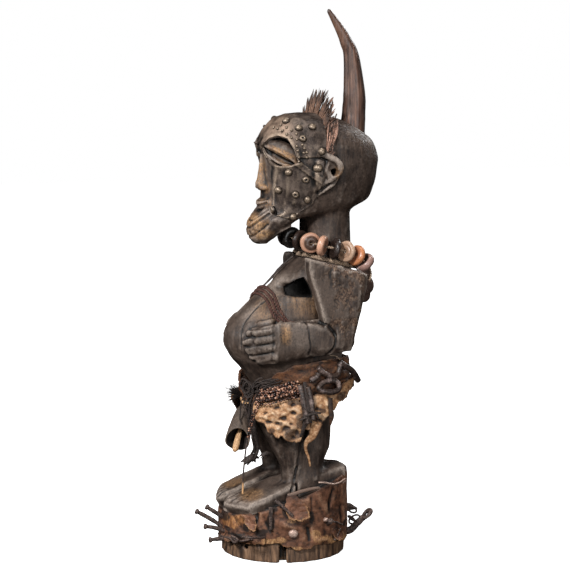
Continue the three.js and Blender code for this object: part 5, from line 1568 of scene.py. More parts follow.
def seed(node, number):
    (rim, face), cut, thick = SEEDS[node]
    middle, axis = seed_axis(node)
    axis = axis if axis @ SWING_TO > 0 else -axis
    axis = unit(mixed(axis, SWING_TO, FACING.get(node, 0)))
    half = SEED_PROFILES[cut]
    profile = [(r, t) for r, t in half] + [(r, -t) for r, t in half[-2::-1]]
    bore = SEED_BORE / SEED_RADIUS
    profile = [(bore, half[0][1] - 0.1), *profile, (bore, 0.1 - half[0][1])]
    angle, ring = spokes(middle, axis, SEED_SIDES)
    uneven = 1 + 0.025 * np.sin(2 * angle + number) + 0.012 * np.sin(5 * angle + 2 * number)
    rings = []
    for share, level in profile:
        radius = share * SEED_RADIUS * (1 + (uneven - 1) * share)
        rings.append(middle + ring * radius[:, None] + axis * level * SEED_HALF * thick)
    form = skin_of(rings, joined=True)
    shares = np.repeat([share for share, _ in profile], len(angle))
    masks = {"face": eased((0.78 - shares) / 0.12)}
    piece(f"polished_{node}", form, polished_seed(f"{cut}_{node}", rim, face), "seeds", [node], masks=masks)


NECK_SQUARE = 2.3
COLLAR_RADIUS = 3.4
COLLAR_SEAT = 4.45
SHOULDER_FRONT = (31, 345)
SHOULDER_SLOPE = 0.27


def collar_cord():
    """A thick two-strand cord in the corner between neck and shoulders."""
    turns = np.arange(-90, 270, 7.5)
    foot = on_form(NECK, NECK_SQUARE, turns, SHOULDER_FRONT[1], COLLAR_SEAT)
    fall = np.maximum(0, foot[:, 1] - SHOULDER_FRONT[0]) * math.tan(SHOULDER_SLOPE)
    path = on_form(NECK, NECK_SQUARE, turns, SHOULDER_FRONT[1] - fall + COLLAR_SEAT, COLLAR_SEAT)
    form = twisted(path, COLLAR_RADIUS, 3, 13, joined=True, sides=8, fuzz=0.35, seed=70)
    piece("twisted_collar_cord", form, pale_fibre(), "pale_cord", ["collar_cord"])


def chest_strap():
    """A narrow dark strap that hangs from the collar to the breast rope, with turned edges."""
    spots = [on_form(TORSO, TORSO_SQUARE, -91 - i, z, offset)
             for i, (z, offset) in enumerate([(350, 9), (338, 10), (325, 8), (312, 4), (303, 2.6)])]
    path = curve_through(spots, 40)
    wide = 2.6 + 0.9 * noise(path, 6, 71)
    strap = tube(path, wide, 12, flat=0.5, first=(0, 1, 0))
    end = [tube(curve_through([path[3], path[3] + (way, -3, 3), path[3] + (1.6 * way, -6, 1)], 8), 1.3, 6)
           for way in (3, -2)]
    piece("chest_strap_leather", joined_parts([strap, *end]), dark_fibre(), "dark_leather", ["chest_strap"])


REAR_SEEDS = [(51, 108, 327, 13), (52, 110, 306, 14.5), (50, 107, 292, 12)]  # x, y, height and radius
REAR_SEED_AXIS = np.array((0.9, 0.25, 0.3))


def rear_seeds():
    """Dark seeds hang behind the shoulder, crowded on the cord."""
    parts = []
    for number, (x, y, z, radius) in enumerate(REAR_SEEDS):
        middle = spot(x, y, z)
        for side in (1, -1):
            path = [(middle + REAR_SEED_AXIS * step) * (side, 1, 1) for step in np.linspace(-4, 4, 9)]
            swell = radius * np.sin(np.linspace(0.25, 2.9, 9)) ** 0.4 * (1 + 0.06 * number)
            parts.append(tube(path, swell, 24))
    piece("rear_dark_seeds", joined_parts(parts), polished_seed("smooth_rear_seed", "#4a3a33", "#4a3a33"),
          "seeds")


breast_rope()
necklace_cord()
for count, seed_node in enumerate(SEEDS):
    seed(seed_node, count)
collar_cord()
chest_strap()
rear_seeds()


# Hides at the waist

LEATHER_IN, LEATHER_OUT = 2.1, 7.5
HIDE_IN, HIDE_OUT = 9.6, 15.6
LEATHER_THICK, HIDE_THICK = 2.4, 2.2
LEATHER_STEP, HIDE_STEP = 0.8, 0.62  # degrees
CLEARANCE = 0.35  # between the skins and what lies on them
LEATHER_TOP = [(-90, 149), (-52, 166), (-25, 186), (-5, 196), (20, 201), (60, 199), (90, 194), (180, 184),
               (220, 172), (270, 149)]
LEATHER_BOTTOM = [(-90, 139), (0, 136), (90, 141), (180, 136), (270, 139)]
HIDE_TOP = [(-58, 140), (-25, 146), (0, 152), (17, 156), (40, 166), (60, 168), (120, 160), (180, 152),
            (235, 140)]
HIDE_BOTTOM = [
    (-58, 122), (-50, 114), (-30, 95), (-16, 87), (-6, 88), (-1, 104), (4, 96), (8, 108), (17, 120),
    (30, 139), (45, 151), (60, 156), (90, 146), (120, 118), (150, 104), (185, 92), (215, 104), (235, 124),
]
HIDE_PITS = [  # turn, height, reach and depth of the dried hollows
    (-39, 116, 5, 4.6), (-23, 121, 7, 5.5), (-14, 127, 5, 4.4), (-21, 106, 6, 4.4), (-9, 99, 7, 4.4),
    (5, 132, 6, 3.4), (-31, 113, 4, 3.4), (-17, 113, 4, 3.6), (-27, 136, 5, 3.4), (-15, 139, 5, 3.6),
    (-12, 92, 5, 3.6), (-43, 126, 4, 2.6), (7, 116, 6, 3.6), (140, 130, 9, 4), (170, 118, 9, 4),
    (195, 112, 8, 4), (105, 150, 7, 3), (-47, 122, 5, -2.4), (-31, 124, 5, -2.4), (-29, 105, 4, -2),
    (12, 140, 5, -2),
]
HIDE_STAINS_AND_SHADE = [  # turn, height, half turn and half height of the brown, shadowed lobes
    (-14, 96, 9, 8), (-19, 105, 4, 5), (-5, 116, 5, 14), (30, 146, 7, 7), (66, 150, 22, 12),
    (-13, 142, 8, 4), (14, 113, 5, 6), (-26, 113, 3, 3), (-34, 102, 3, 4), (4, 112, 3, 8), (9, 128, 3, 3),
    (150, 112, 30, 12), (210, 120, 20, 12),
]


def on_hips(turn, z, offset):
    return on_form(HIPS, HIPS_SQUARE, turn, z, offset)


def on_hides(turn, z, radius):
    """The middle of a round thing that lies on the raw hide, or above its edge on the leather."""
    above = eased((z - table_at(HIDE_TOP, np.asarray(turn, float))) / 24)
    return on_hips(turn, z, mixed(HIDE_OUT, LEATHER_OUT, above) + CLEARANCE + radius)


def hanging_skin(turns, top, bottom, inside, thick, relief, ragged, levels, joined=False):
    """A crumpled skin round the hips between two edges, with masks of its rubbed crests with a painted
    highlight, its hollows with painted shade, and its edges.
    """
    high = table_at(top, turns)
    low = table_at(bottom, turns)
    edge = on_hips(turns, low, inside)
    low = low + ragged * (noise(edge, 7, 81) + 0.7 * noise(edge, 2.6, 82))
    high = high + 0.5 * ragged * noise(edge, 6, 83)
    level = np.linspace(0, 1, levels)
    turn = np.repeat(turns[:, None], levels, axis=1)
    z = mixed(low[:, None], high[:, None], level)
    base = on_hips(turn, z, inside)
    swell = relief(turn, z, base)
    outer = on_hips(turn, z, inside + thick + swell)
    inner = on_hips(turn, z, inside + np.maximum(swell, 0) * 0.55)
    rings = folded(inner, outer)
    points, faces = skin_of(rings, joined=joined)
    round_level = np.concatenate([level, level[::-1]])
    bend = swell - blurred_rows(swell, 4)
    bend = folded(bend, bend)
    near_edge = eased(1 - np.minimum(round_level, 1 - round_level) / 0.05)
    brown = patches_at(turn, z, HIDE_STAINS_AND_SHADE, 0.4 * noise(on_hips(turn, z, HIDE_IN), 7, 99), 0.5)
    edge = np.maximum(near_edge[None, :], folded(brown, brown))
    # Crests rubbed with a painted highlight, hollows painted as shade, and brown edges and lobes that are
    # partly stain and partly painted shade.
    masks = {
        "worn": 0.6 * np.clip(bend / 0.9 - 0.1, 0, 1).ravel(),
        "sooty": np.clip(-bend / 0.9 - 0.1, 0, 1).ravel(),
        "edge": edge.ravel(),
    }
    return points, faces, masks


def blurred_rows(values, steps):
    smooth = np.apply_along_axis(blurred_line, 0, values, steps)
    return np.apply_along_axis(blurred_line, 1, smooth, steps)


def creases(points, size, seed):
    """Sharp valleys between rounded swellings, from 0 in a valley to 1."""
    return np.clip(2.2 * np.abs(noise(points, size, seed)), 0, 1)


def leather_relief(turn, z, base):
    drape = np.sin(np.radians(turn * 9) + (z - 140) * 0.09 + 2 * noise(base, 30, 84))
    folds = creases(base, (20, 20, 7), 85) + 0.5 * creases(base, (9, 9, 4), 86)
    return 1.2 + 0.7 * drape + 1.5 * folds


def hide_relief(_turn, _z, base):
    bent = base + 4 * shaken(base, (12, 12, 10), 92)
    swell = 1.9 + 1.5 * noise(bent, (22, 22, 18), 87) + 1.2 * creases(bent, (26, 26, 20), 88)
    swell = swell + 0.5 * noise(base, 5, 89)
    for pit_turn, pit_z, reach, depth in HIDE_PITS:
        middle = on_hips(pit_turn, pit_z, HIDE_IN)
        away = np.linalg.norm((bent - middle) * (1, 1, 1.3), axis=-1) / reach
        swell = swell - depth * np.exp(-(away**2) * 1.4)
    return np.clip(swell, -1.8, 6.5)


def patches_at(turn, height, patches, ragged, soft):
    """How much of some oval patches (turn, height, half turn, half height) lies at each place. ragged
    shifts their outlines, and soft is the width of these."""
    total = np.zeros(np.shape(turn))
    for middle, level, wide, high in patches:
        away = np.hypot((turn - middle) / wide, (height - level) / high) + ragged
        total = np.maximum(total, eased((1.25 - away) / soft))
    return total


def hip_leather():
    turns = np.arange(-90, 270, LEATHER_STEP)
    *form, masks = hanging_skin(turns, LEATHER_TOP, LEATHER_BOTTOM, LEATHER_IN, LEATHER_THICK,
                                leather_relief, 1.6, 40, True)
    piece("folded_hip_leather", form, red_leather(), "dark_leather", ["hip_leather"], masks=masks)


TAIL_POINTS, TAIL_SIDES = 60, 14
HIDE_TAIL = [(5, 113, 3.2, 9.5), (4, 104, 3.4, 8), (2.6, 92, 3, 6), (-0.5, 84, 2.8, 3.2),
             (-0.8, 74, 2.4, 2.2), (0.8, 62, 1.6, 1.8), (2.6, 47, 0.2, 1.6)]


def raw_hide_apron():
    turns = np.arange(HIDE_TOP[0][0], HIDE_TOP[-1][0] + 0.1, HIDE_STEP)
    *form, masks = hanging_skin(turns, HIDE_TOP, HIDE_BOTTOM, HIDE_IN, HIDE_THICK, hide_relief, 3.0, 60)
    rows = np.array(HIDE_TAIL, float)
    line = curve_through(on_hips(rows[:, 0], rows[:, 1], HIDE_IN + rows[:, 2]), TAIL_POINTS)
    half = varied(TAIL_POINTS, np.linspace(0, 1, len(rows)), rows[:, 3])
    tail = tube(line, half, TAIL_SIDES, flat=0.28, first=(-1, 0, 0))
    curl = np.array(tail[0]).reshape(TAIL_POINTS, TAIL_SIDES, 3)
    middle = curl.mean(axis=1, keepdims=True)
    across = (curl - middle)[..., 1:2]
    curl[..., 0] += 0.05 * across[..., 0]**2 + 0.8 * noise(curl, 7, 91)
    edge = np.clip(np.abs(across[..., 0]) / np.maximum(half[:, None], 1) - 0.55, 0, 0.4) * 2.5
    zeros = np.zeros(TAIL_POINTS * TAIL_SIDES)
    tail_masks = {"worn": zeros, "sooty": zeros, "edge": edge.ravel()}
    form = joined_parts([form, (curl.reshape(-1, 3), tail[1])])
    masks = {name: np.append(values, tail_masks[name]) for name, values in masks.items()}
    piece("crumpled_raw_hide", form, raw_hide(), "raw_hide", ["raw_hide"], masks=masks)


# Links, beads, bell and the small things that hang at the waist

LINK_TUBE_RADIUS, LINK_RING_RADIUS, LINK_SIDES = 4.0, 3.6, 24
STRIP_PITCH = 4.6
LINK_TUBES = {
    "link_tube_upper": [(-1, 172), (3, 178), (6, 184)],
    "link_tube_back": [(31, 196), (47, 180), (62, 161)],
    "link_tube_hanging_front": [(-9, 168), (-7, 144), (-2, 112)],
    "link_tube_hanging_back": [(-3.5, 165), (-1.6, 144), (1, 117)],
}
LINK_RINGS = {
    "link_ring_lower": [(3, 161), (8, 169), (17, 171), (22, 165), (20, 157), (11, 155)],
    "link_ring_upper": [(7, 192), (10, 183), (17, 177), (24, 178), (29, 185), (32, 193)],
}


def bound_link(name, stations, radius, joined):
    """A round link wound with narrow strip, open at its ends where it is a tube."""
    turns, heights = columns(stations)
    count = 150 if joined else 90
    path = curve_through(on_hides(turns, heights, radius), count, joined)
    length = length_of(path)
    share = np.linspace(0, 1, count, endpoint=not joined)
    turns_of_strip = round(length / STRIP_PITCH)
    winding = 0.15 * np.abs(np.sin(math.pi * turns_of_strip * share))
    size = radius * 1.1 + winding
    if not joined:
        size = size * np.sqrt(np.clip(np.minimum(share, 1 - share) * length / 0.9, 0.3, 1))
    points, faces = tube(path, size, LINK_SIDES, joined)
    rings = np.asarray(points).reshape(count, LINK_SIDES, 3)
    # Rubbed patches, and painted shade between the turns of the strip.
    masks = {"worn": np.clip(noise(rings, 7, 95) * 1.5 - 0.15, 0, 1).ravel(),
             "sooty": np.repeat(np.clip(1 - winding / 0.07, 0, 0.6), LINK_SIDES)}
    piece(f"bound_{name}", (points, faces), bound_iron(), "links", [name], masks=masks)


BEAD_GAP = 0.25


def round_bead(place, radius, length, along):
    """A small bead on a thread, a little longer or shorter than round."""
    t = np.array([-0.96, -0.62, 0, 0.62, 0.96])
    path = place + np.outer(t * length / 2, along)
    return tube(path, radius * np.array([0.45, 0.87, 1, 0.87, 0.45]), 9)


def bead_thread(path, radius, seed):
    """Beads side by side along a path, and the thread through them."""
    length = length_of(path)
    count = int(length / (2 * radius + BEAD_GAP))
    places = curve_through(path, count)
    along = directions(places)
    rng = np.random.default_rng(seed)
    beads = [round_bead(place, radius * rng.uniform(0.86, 1.12), 2 * radius * rng.uniform(0.75, 1.05), way)
             for place, way in zip(places, along)]
    return joined_parts([*beads, tube(curve_through(path, 2 * count), 0.35, 5)])


SMALL_BEAD = 1.75
STRAND_STATIONS = [(-52, 158), (-44, 160), (-38, 161), (-27, 166), (-17, 170), (-12, 168)]
STRAND_DROP = 2.5


def beadwork():
    """Threads of small glass beads lie over each other in a swag across the front of the left hip."""
    turns, heights = columns(STRAND_STATIONS)
    rng = np.random.default_rng(96)
    for strand in range(3):
        threads = []
        for layer in range(4):
            row = strand * 3 + layer
            sag = 2.2 * np.sin(np.linspace(0, math.pi, len(turns))) * rng.uniform(-0.6, 1.4)
            shift = rng.uniform(-2.2, 2.2)
            z = heights + 4 - STRAND_DROP * row - sag
            out = SMALL_BEAD * (1 + 1.5 * (layer % 2)) + rng.uniform(0, 1)
            threads.append(bead_thread(on_hides(turns + shift, z, out), SMALL_BEAD, 97 + row))
        piece(f"bead_threads_{strand + 1}", joined_parts(threads), red_glass(), "beads",
              [f"bead_strand_{strand + 1}"])
    turns, heights = columns([(-50, 139), (-53, 132), (-57, 122), (-60, 108), (-63, 94), (-64, 86)])
    form = bead_thread(on_hides(turns, heights, 1.6), 1.45, 120)
    tail = bead_thread(on_hides(turns + 3, heights + 2, 1.4), 1.2, 121)
    piece("hanging_bead_threads", joined_parts([form, tail]), red_glass(), "beads", ["bead_string"])


BELL_TOP = spot(-4, -58, 122)
BELL_AXIS = unit((0.4, -0.37, -0.84))
BELL_LENGTH, BELL_MOUTH, BELL_WALL = 53.0, 18.5, 2.6
BELL_SIDES, BELL_STEPS = 56, 4
CLAPPER_DEPTHS = [0.46, 0.64, 0.92, 1.12, 1.24, 1.32]  # shares of the bell's length
# Shares of the clapper's length, and its half widths there
CLAPPER_WIDTHS = [(0, 2.2), (0.15, 3.4), (0.75, 5.0), (0.94, 4.4), (1, 2.0)]
BELL_FACE = (0.94, -0.34, 0.14)  # the mouth was cut askew and opens to this side
# Shares of the bell's length and of its mouth
BELL_PROFILE = [(0, 0.12), (0, 0.4), (0.02, 0.5), (0.1, 0.65), (0.3, 0.76), (0.7, 0.92), (0.93, 0.985),
                (1, 0.985)]
BELL_INSIDE = [(1, 1), (0.7, 0.9), (0.3, 0.72), (0.09, 0.5)]


def along_bell(depth):
    return BELL_TOP + BELL_AXIS * depth


def wooden_bell():
    angle, ring = spokes(BELL_TOP, BELL_AXIS, BELL_SIDES)
    outer = [(t * BELL_LENGTH, share * BELL_MOUTH) for t, share in BELL_PROFILE]
    inner = [(t * BELL_LENGTH, share * BELL_MOUTH - BELL_WALL) for t, share in BELL_INSIDE]
    inner.append((0.07 * BELL_LENGTH, 0.12 * BELL_MOUTH))
    rows = [(mixed(a[0], b[0], t), mixed(a[1], b[1], t))
            for a, b in zip(outer + inner[:-1], outer[1:] + inner)
            for t in np.arange(BELL_STEPS) / BELL_STEPS]
    tilt = ring @ unit(BELL_FACE - BELL_AXIS * (BELL_AXIS @ BELL_FACE))
    askew = np.outer(11 * tilt + 3.5 * tilt**2, BELL_AXIS)
    rings = np.array([along_bell(depth) + ring * radius - askew * (depth / BELL_LENGTH) ** 2
                      for depth, radius in rows])
    cut = 0.35 * noise(rings, (5, 5, 9), 98) * np.array([min(1, radius / 8) for _, radius in rows])[:, None]
    rings += ring[None] * cut[..., None]
    half = BELL_STEPS * len(outer) - 2
    inside = np.repeat(np.arange(len(rows)) > half, len(angle)).astype(float)
    lip = np.repeat([eased(1 - abs(k - half) / 3) for k in range(len(rows))], len(angle))
    # Painted shade inside the bell, and a lighter rubbed lip.
    masks = {"sooty": inside * 0.9, "worn": lip}
    piece("wooden_bell", skin_of(rings, joined=True), greyed_wood(), "bell_wood", ["bell"], masks=masks)
    depths = np.array(CLAPPER_DEPTHS) * BELL_LENGTH
    path = curve_through([along_bell(depth) for depth in depths], 30)
    stick = tube(path, varied(30, *columns(CLAPPER_WIDTHS)), 20, flat=0.78)
    piece("bell_clapper_stick", stick, pale_wood(), "clapper_wood", ["bell_clapper"])
    tied = on_hips(-86, 136.6, 6.3)
    path = curve_through([tied, spot(-1, -59, 130), along_bell(-2), along_bell(3), along_bell(19.4)], 50)
    piece("twisted_bell_cord", twisted(path, 1.3, 2, 5, sides=6), dark_fibre(), "dark_cord", ["bell_cord"])


THONG_RADIUS = 1.3
THONG_LINE = [(43, -67, 108), (47, -74, 74), (50, -79, 40), (51, -81, 6)]
THONG_POINTS, THONG_BARE_FROM, THONG_SIDES = 90, 77, 14


def hanging_thong():
    """The thong hangs free from the leather to just above the left foot, and its end is bare and pale."""
    seat = HIDE_OUT + CLEARANCE + THONG_RADIUS
    tied = [on_hips(-70, 141, seat), on_hips(-69, 134, seat + 1)]
    path = curve_through([*tied, *spots_of(THONG_LINE)], THONG_POINTS)
    form = tube(path, THONG_RADIUS, THONG_SIDES)
    frayed = np.repeat(eased((np.arange(THONG_POINTS) - THONG_BARE_FROM) / 4), THONG_SIDES)
    made = piece("hanging_leather_thong", form, thong_leather(), "dark_leather", ["hanging_thong"],
                 masks={"bare": frayed})


FRONT_OFFSET = LEATHER_OUT + CLEARANCE
HAIRS = 170


def bristle_tuft():
    """A brush of stiff hairs stands forward from the leather, bound at its root with dark cord."""
    root = on_hips(-90, 142, FRONT_OFFSET)
    rng = np.random.default_rng(130)
    hairs = []
    for _ in range(HAIRS):
        way = unit(np.array((0.05, -0.72, 0.5)) + rng.normal(0, 0.33, 3) * (0.8, 0.5, 1))
        start = root + rng.normal(0, 1.5, 3) * (1, 0.3, 1)
        reach = rng.uniform(11, 29)
        droop = np.array((0, 0, -1)) * rng.uniform(0, 5)
        path = curve_through([start, start + way * reach * 0.5, start + way * reach + droop], 6)
        hairs.append(tube(path, np.linspace(0.5, 0.16, 6), 5))
    collar = tube(curve_through([root + (0, 1, -1), root + (0, -4, 2), root + (0.3, -7, 5)], 14),
                  2.8 + 0.5 * np.abs(np.sin(np.arange(14) * 1.57)), 14)
    piece("bristle_tuft", joined_parts([*hairs, collar]), black_bristle(), "hair", ["hair_tuft"])


TANGLED_STRIPS = 26


def small_hangings():
    """A looped cord and its ends, a tangle of strips, and a pale bar, all in front of the left hip."""
    loops = []
    turns, heights = columns([(-84, 156), (-80, 164), (-74, 170), (-66, 164), (-68, 152), (-76, 148)])
    for shift, out in ((0, 3.0), (2.5, 4.6), (-1.5, 5.6)):
        path = curve_through(on_hips(turns + shift, heights - 1.2 * shift, FRONT_OFFSET + out), 90, True)
        loops.append(twisted(path, 1.7, 2, 6, joined=True, sides=6, fuzz=0.3, seed=131))
    for index, (turn, z) in enumerate([(-72, 150), (-66, 146), (-60, 150), (-78, 146), (-56, 144)]):
        drop = [on_hips(turn + wave, z - fall, FRONT_OFFSET + 3 + 0.5 * fall ** 0.5)
                for fall, wave in ((0, 0), (10, 2 - index), (22 + 3 * index, 3 - 1.5 * index),
                                   (34 + 2 * index, 1))]
        loops.append(twisted(curve_through(drop, 30), 1.2, 2, 5, sides=5, fuzz=0.4, seed=140 + index))
    rng = np.random.default_rng(147)
    for number in range(TANGLED_STRIPS):
        start, middle = rng.uniform(-84, -56), rng.uniform(-60, -44)
        level = rng.uniform(-9, 4)
        crown = 168 + level + rng.uniform(-3, 3)
        stations = [(start, 156 + level), (middle, crown), (middle + rng.uniform(8, 24), 174 + level)]
        places = [on_hips(turn, z, FRONT_OFFSET + rng.uniform(0.5, 4.5)) for turn, z in stations]
        line = curve_through(places, 24)
        line = line + 1.6 * shaken(line, 7, 150 + number)
        width = rng.uniform(0.9, 2.4) * np.sin(np.linspace(0.3, 2.84, 24)) ** 0.5
        loops.append(tube(line, width, 7, flat=0.6))
    piece("dark_waist_loops", joined_parts(loops), dark_fibre(), "dark_cord", ["waist_loop"])
    bar = curve_through(on_hips(*columns([(-84, 141), (-77, 136), (-68, 137)]), FRONT_OFFSET + 3.4), 24)
    bar = tube(bar, 1.9 * np.sin(np.linspace(0.5, 2.64, 24)) ** 0.4, 12)
    piece("pale_bone_bar", bar, pale_wood(), "clapper_wood", ["pale_bar"])


BLACK_STRIP = [(30, -62, 138), (30, -61, 112), (29, -57, 90), (28, -53, 66), (27, -60, 50)]


def black_strips():
    """Ragged black strips hang between the legs and end in a claw."""
    rng = np.random.default_rng(150)
    strips = []
    for shift, end in ((0, 5), (-5, 5), (5, 5), (9, 4), (-9, 4), (13, 4), (-3, 5), (16, 3), (3, 4), (7, 5)):
        places = [spot(x + shift * (0.5 + 0.08 * i), y + rng.uniform(-3, 3), z + rng.uniform(-4, 4))
                  for i, (x, y, z) in enumerate(BLACK_STRIP[:end])]
        path = curve_through(places, 30)
        width = varied(30, [0, 0.6, 1], [4.6, 4.4, 1.2]) * rng.uniform(0.7, 1.15)
        width = width * (1 + 0.25 * noise(path, 4, 151))
        strips.append(tube(path, width, 8, flat=0.5, first=(1, 0.4, 0)))
    for foot, reach in ((spot(27, -58, 54), 1.3), (spot(44, -42, 62), 0.8)):
        for way in ((0, -14, -5), (3, -11, -8), (-2, 5, -7), (1, -6, -9), (0, 9, -2)):
            claw = curve_through([foot, foot + np.array(way) * 0.5 * reach + (0, 0, 1),
                                  foot + np.array(way) * reach], 10)
            strips.append(tube(claw, np.linspace(4.4, 0.6, 10) * reach, 8))
    piece("black_ragged_strips", joined_parts(strips), dark_fibre(), "dark_cord", ["black_strip"])


TAG_POINTS, TAG_SIDES, STRAP_POINTS = 40, 14, 50
# Turn, height and how far out: the tag behind the hip, and the strap between the links
TAG_STATIONS = [(13, 146, 2.6), (14.5, 132, 3.4), (17, 121, 3.8), (18, 107, 2.6)]
STRAP_STATIONS = [(-5, 172, 4), (-6, 150, 5.5), (-3, 130, 5), (-3.5, 112, 3), (-5.5, 93, -1)]
STRAP_KNOTS = [  # three turns and their three heights
    ((-8, -2, 5), (140, 131, 127)), ((-6, 1, 4), (124, 127, 119)), ((-8, -3, 0), (119, 122, 114)),
]


def leather_tags():
    """A dark tag with a red tip behind the hip, and the dark strap that hangs between the bound links."""
    turns, heights, out = columns(TAG_STATIONS)
    path = curve_through(on_hips(turns, heights, HIDE_OUT + out), TAG_POINTS)
    width = varied(TAG_POINTS, [0, 0.3, 0.7, 1], [3.4, 3.6, 3.9, 1.4])
    tag = tube(path, width, TAG_SIDES, flat=0.36, first=(-1, 0, 0))
    dark = np.repeat(varied(TAG_POINTS, (0, 0.6, 0.9), (0.85, 0.6, 0.1)), TAG_SIDES)
    piece("dark_red_leather_tag", tag, red_leather(), "dark_leather", ["leather_strip"],
          masks={"sooty": dark})
    path = curve_through(on_hides(*columns(STRAP_STATIONS)), STRAP_POINTS)
    width = varied(STRAP_POINTS, (0, 0.1, 0.5, 0.7, 1), (0.5, 0.8, 1.5, 1, 0.4))
    width = 4.4 * (1 + 0.16 * noise(path, 6, 155)) * width
    parts = [tube(path, width, 12, flat=0.34, first=(-1, 0, 0))]
    for turns, heights in STRAP_KNOTS:
        knot = curve_through(on_hides(turns, heights, 6), 16)
        parts.append(tube(knot, 3.4 * np.sin(np.linspace(0.3, 2.84, 16)) ** 0.5, 10, flat=0.6))
    piece("dark_hanging_strap", joined_parts(parts), dark_fibre(), "dark_leather")
    curl = curve_through([spot(60, 50, 205), spot(63, 60, 203), spot(64, 68, 194), spot(62, 76, 183)], 30)
    piece("pale_curled_strip", tube(curl, 1.7 + 0.5 * noise(curl, 5, 156), 8, flat=0.5), pale_fibre(),
          "pale_cord")


hip_leather()
raw_hide_apron()
for link_name, link_stations in LINK_TUBES.items():
    bound_link(link_name, link_stations, LINK_TUBE_RADIUS, False)
for link_name, link_stations in LINK_RINGS.items():
    bound_link(link_name, link_stations, LINK_RING_RADIUS, link_name != "link_ring_upper")
beadwork()
wooden_bell()
hanging_thong()
bristle_tuft()
small_hangings()
black_strips()
leather_tags()


# The plinth's leather wrap and the iron driven through it

WRAP_IN = 92.35
WRAP_THICK = 2.8
WRAP_OUT = 98.55
WRAP_STEP, WRAP_LEVELS = 0.72, 74  # degrees, and points up the wrap
DEGREE_LENGTH = 1.7  # a degree round the wrap in millimetres
WRAP_HEM = [
    (-90, 25), (-72, 25), (-41, 28), (-24, 31), (-16, 25), (-7, 21), (2, 21), (11, 25), (30, 23), (58, 20),
    (90, 22), (150, 27), (200, 25), (270, 25),
]
WRAP_FOLDS = [  # angle, height, angle, height, width and rise of the larger folds and slashes
    (-62, 78, -40, 52, 5, 4.0), (-54, 84, -50, 60, 4, 3.0), (-41, 84, -44, 64, 3.5, -2.5),
    (-70, 66, -56, 44, 4, -2.0), (-66, 38, -44, 33, 4, 3.0), (-36, 66, -30, 44, 4, -2.5),
    (-24, 62, -6, 52, 5, 2.5), (-22, 92, -12, 70, 3.5, -2.0), (2, 56, 4, 30, 5, -3.0),
    (12, 104, 26, 62, 6, 2.5), (30, 106, 24, 70, 4, -2.5), (26, 44, 40, 30, 5, 3.0),
    (44, 100, 50, 40, 6, 2.5), (8, 34, 26, 30, 5, 2.5), (100, 90, 120, 50, 6, 3.0),
    (150, 80, 140, 40, 6, -2.5), (180, 76, 200, 40, 6, 3.0), (225, 60, 240, 36, 5, 3.0),
    (76, 60, 90, 34, 5, -2.5), (215, 76, 210, 46, 4, -2.0),
]
WRAP_RISE = [(-90, 0), (-45, 2), (-12, 6), (30, 7), (60, 4), (90, 1), (270, 0)]  # above the wood's edge
PALE_PATCHES = [(-30, 33, 9, 4), (-22, 36, 4, 4), (10, 42, 5, 7), (18, 33, 9, 4), (30, 27, 7, 4),
                (48, 24, 12, 3), (-7, 23, 5, 2.5), (-12, 64, 4, 3), (120, 30, 12, 4), (190, 32, 10, 4)]
FUR_PATCHES = [(-74, 54, 15, 9), (-60, 62, 9, 6), (165, 52, 14, 10)]
DARK_PATCHES = [(-40, 86, 5, 9), (-29, 84, 4, 7), (-31, 62, 4, 12), (-18, 92, 4, 9), (-16, 78, 4, 9),
                (-40, 46, 7, 6), (-64, 36, 12, 3), (-54, 50, 4, 6), (6, 66, 2.5, 10), (-84, 60, 8, 8),
                (-70, 74, 7, 9), (50, 46, 5, 6), (-78, 42, 6, 4)]


def round_plinth(degrees, radius, height):
    angle = np.radians(degrees)
    angle, radius, height = np.broadcast_arrays(angle, radius, height)
    return np.stack([np.cos(angle) * radius, np.sin(angle) * radius, height], axis=-1)


def round_places(radius, rows):
    """Places from rows of angle, how far outside a radius, and height."""
    return [round_plinth(degrees, radius + out, height) for degrees, out, height in rows]


def slope_top(y):
    return PLINTH_TOP + y * math.tan(PLINTH_SLOPE)


def patch_strength(degrees, height, patches):
    ragged = 0.35 * noise(round_plinth(degrees, WRAP_OUT, height), 5, 160)
    return patches_at(degrees, height, patches, ragged, 0.4)


def wrap_relief(degrees, height):
    base = round_plinth(degrees, WRAP_OUT, height)
    bent = base + 5 * shaken(base, (14, 14, 12), 167)
    relief = 0.7 + 1.0 * noise(bent, (30, 30, 24), 161) + 0.9 * creases(bent, (20, 20, 26), 162)
    relief = relief + 0.4 * noise(bent, (6, 6, 9), 163)
    relief = relief + 6 * eased((-56 - degrees) / 24) * eased((36 - height) / 9)
    for start, high, end, low, width, rise in WRAP_FOLDS:
        a = np.array((start * DEGREE_LENGTH, high))
        b = np.array((end * DEGREE_LENGTH, low))
        place = np.stack([degrees * DEGREE_LENGTH, height], axis=-1)
        t = np.clip((place - a) @ (b - a) / ((b - a) @ (b - a)), 0, 1)
        bend = 2.5 * np.sin(5 * t + start)
        away = np.linalg.norm(place - a - t[..., None] * (b - a), axis=-1) - bend * 0.4
        fading = np.sin(math.pi * np.clip(t, 0.04, 0.96)) ** 0.5
        relief = relief + rise * np.exp(-((away / width) ** 2)) * fading
    return np.clip(relief, -1.8, 7)


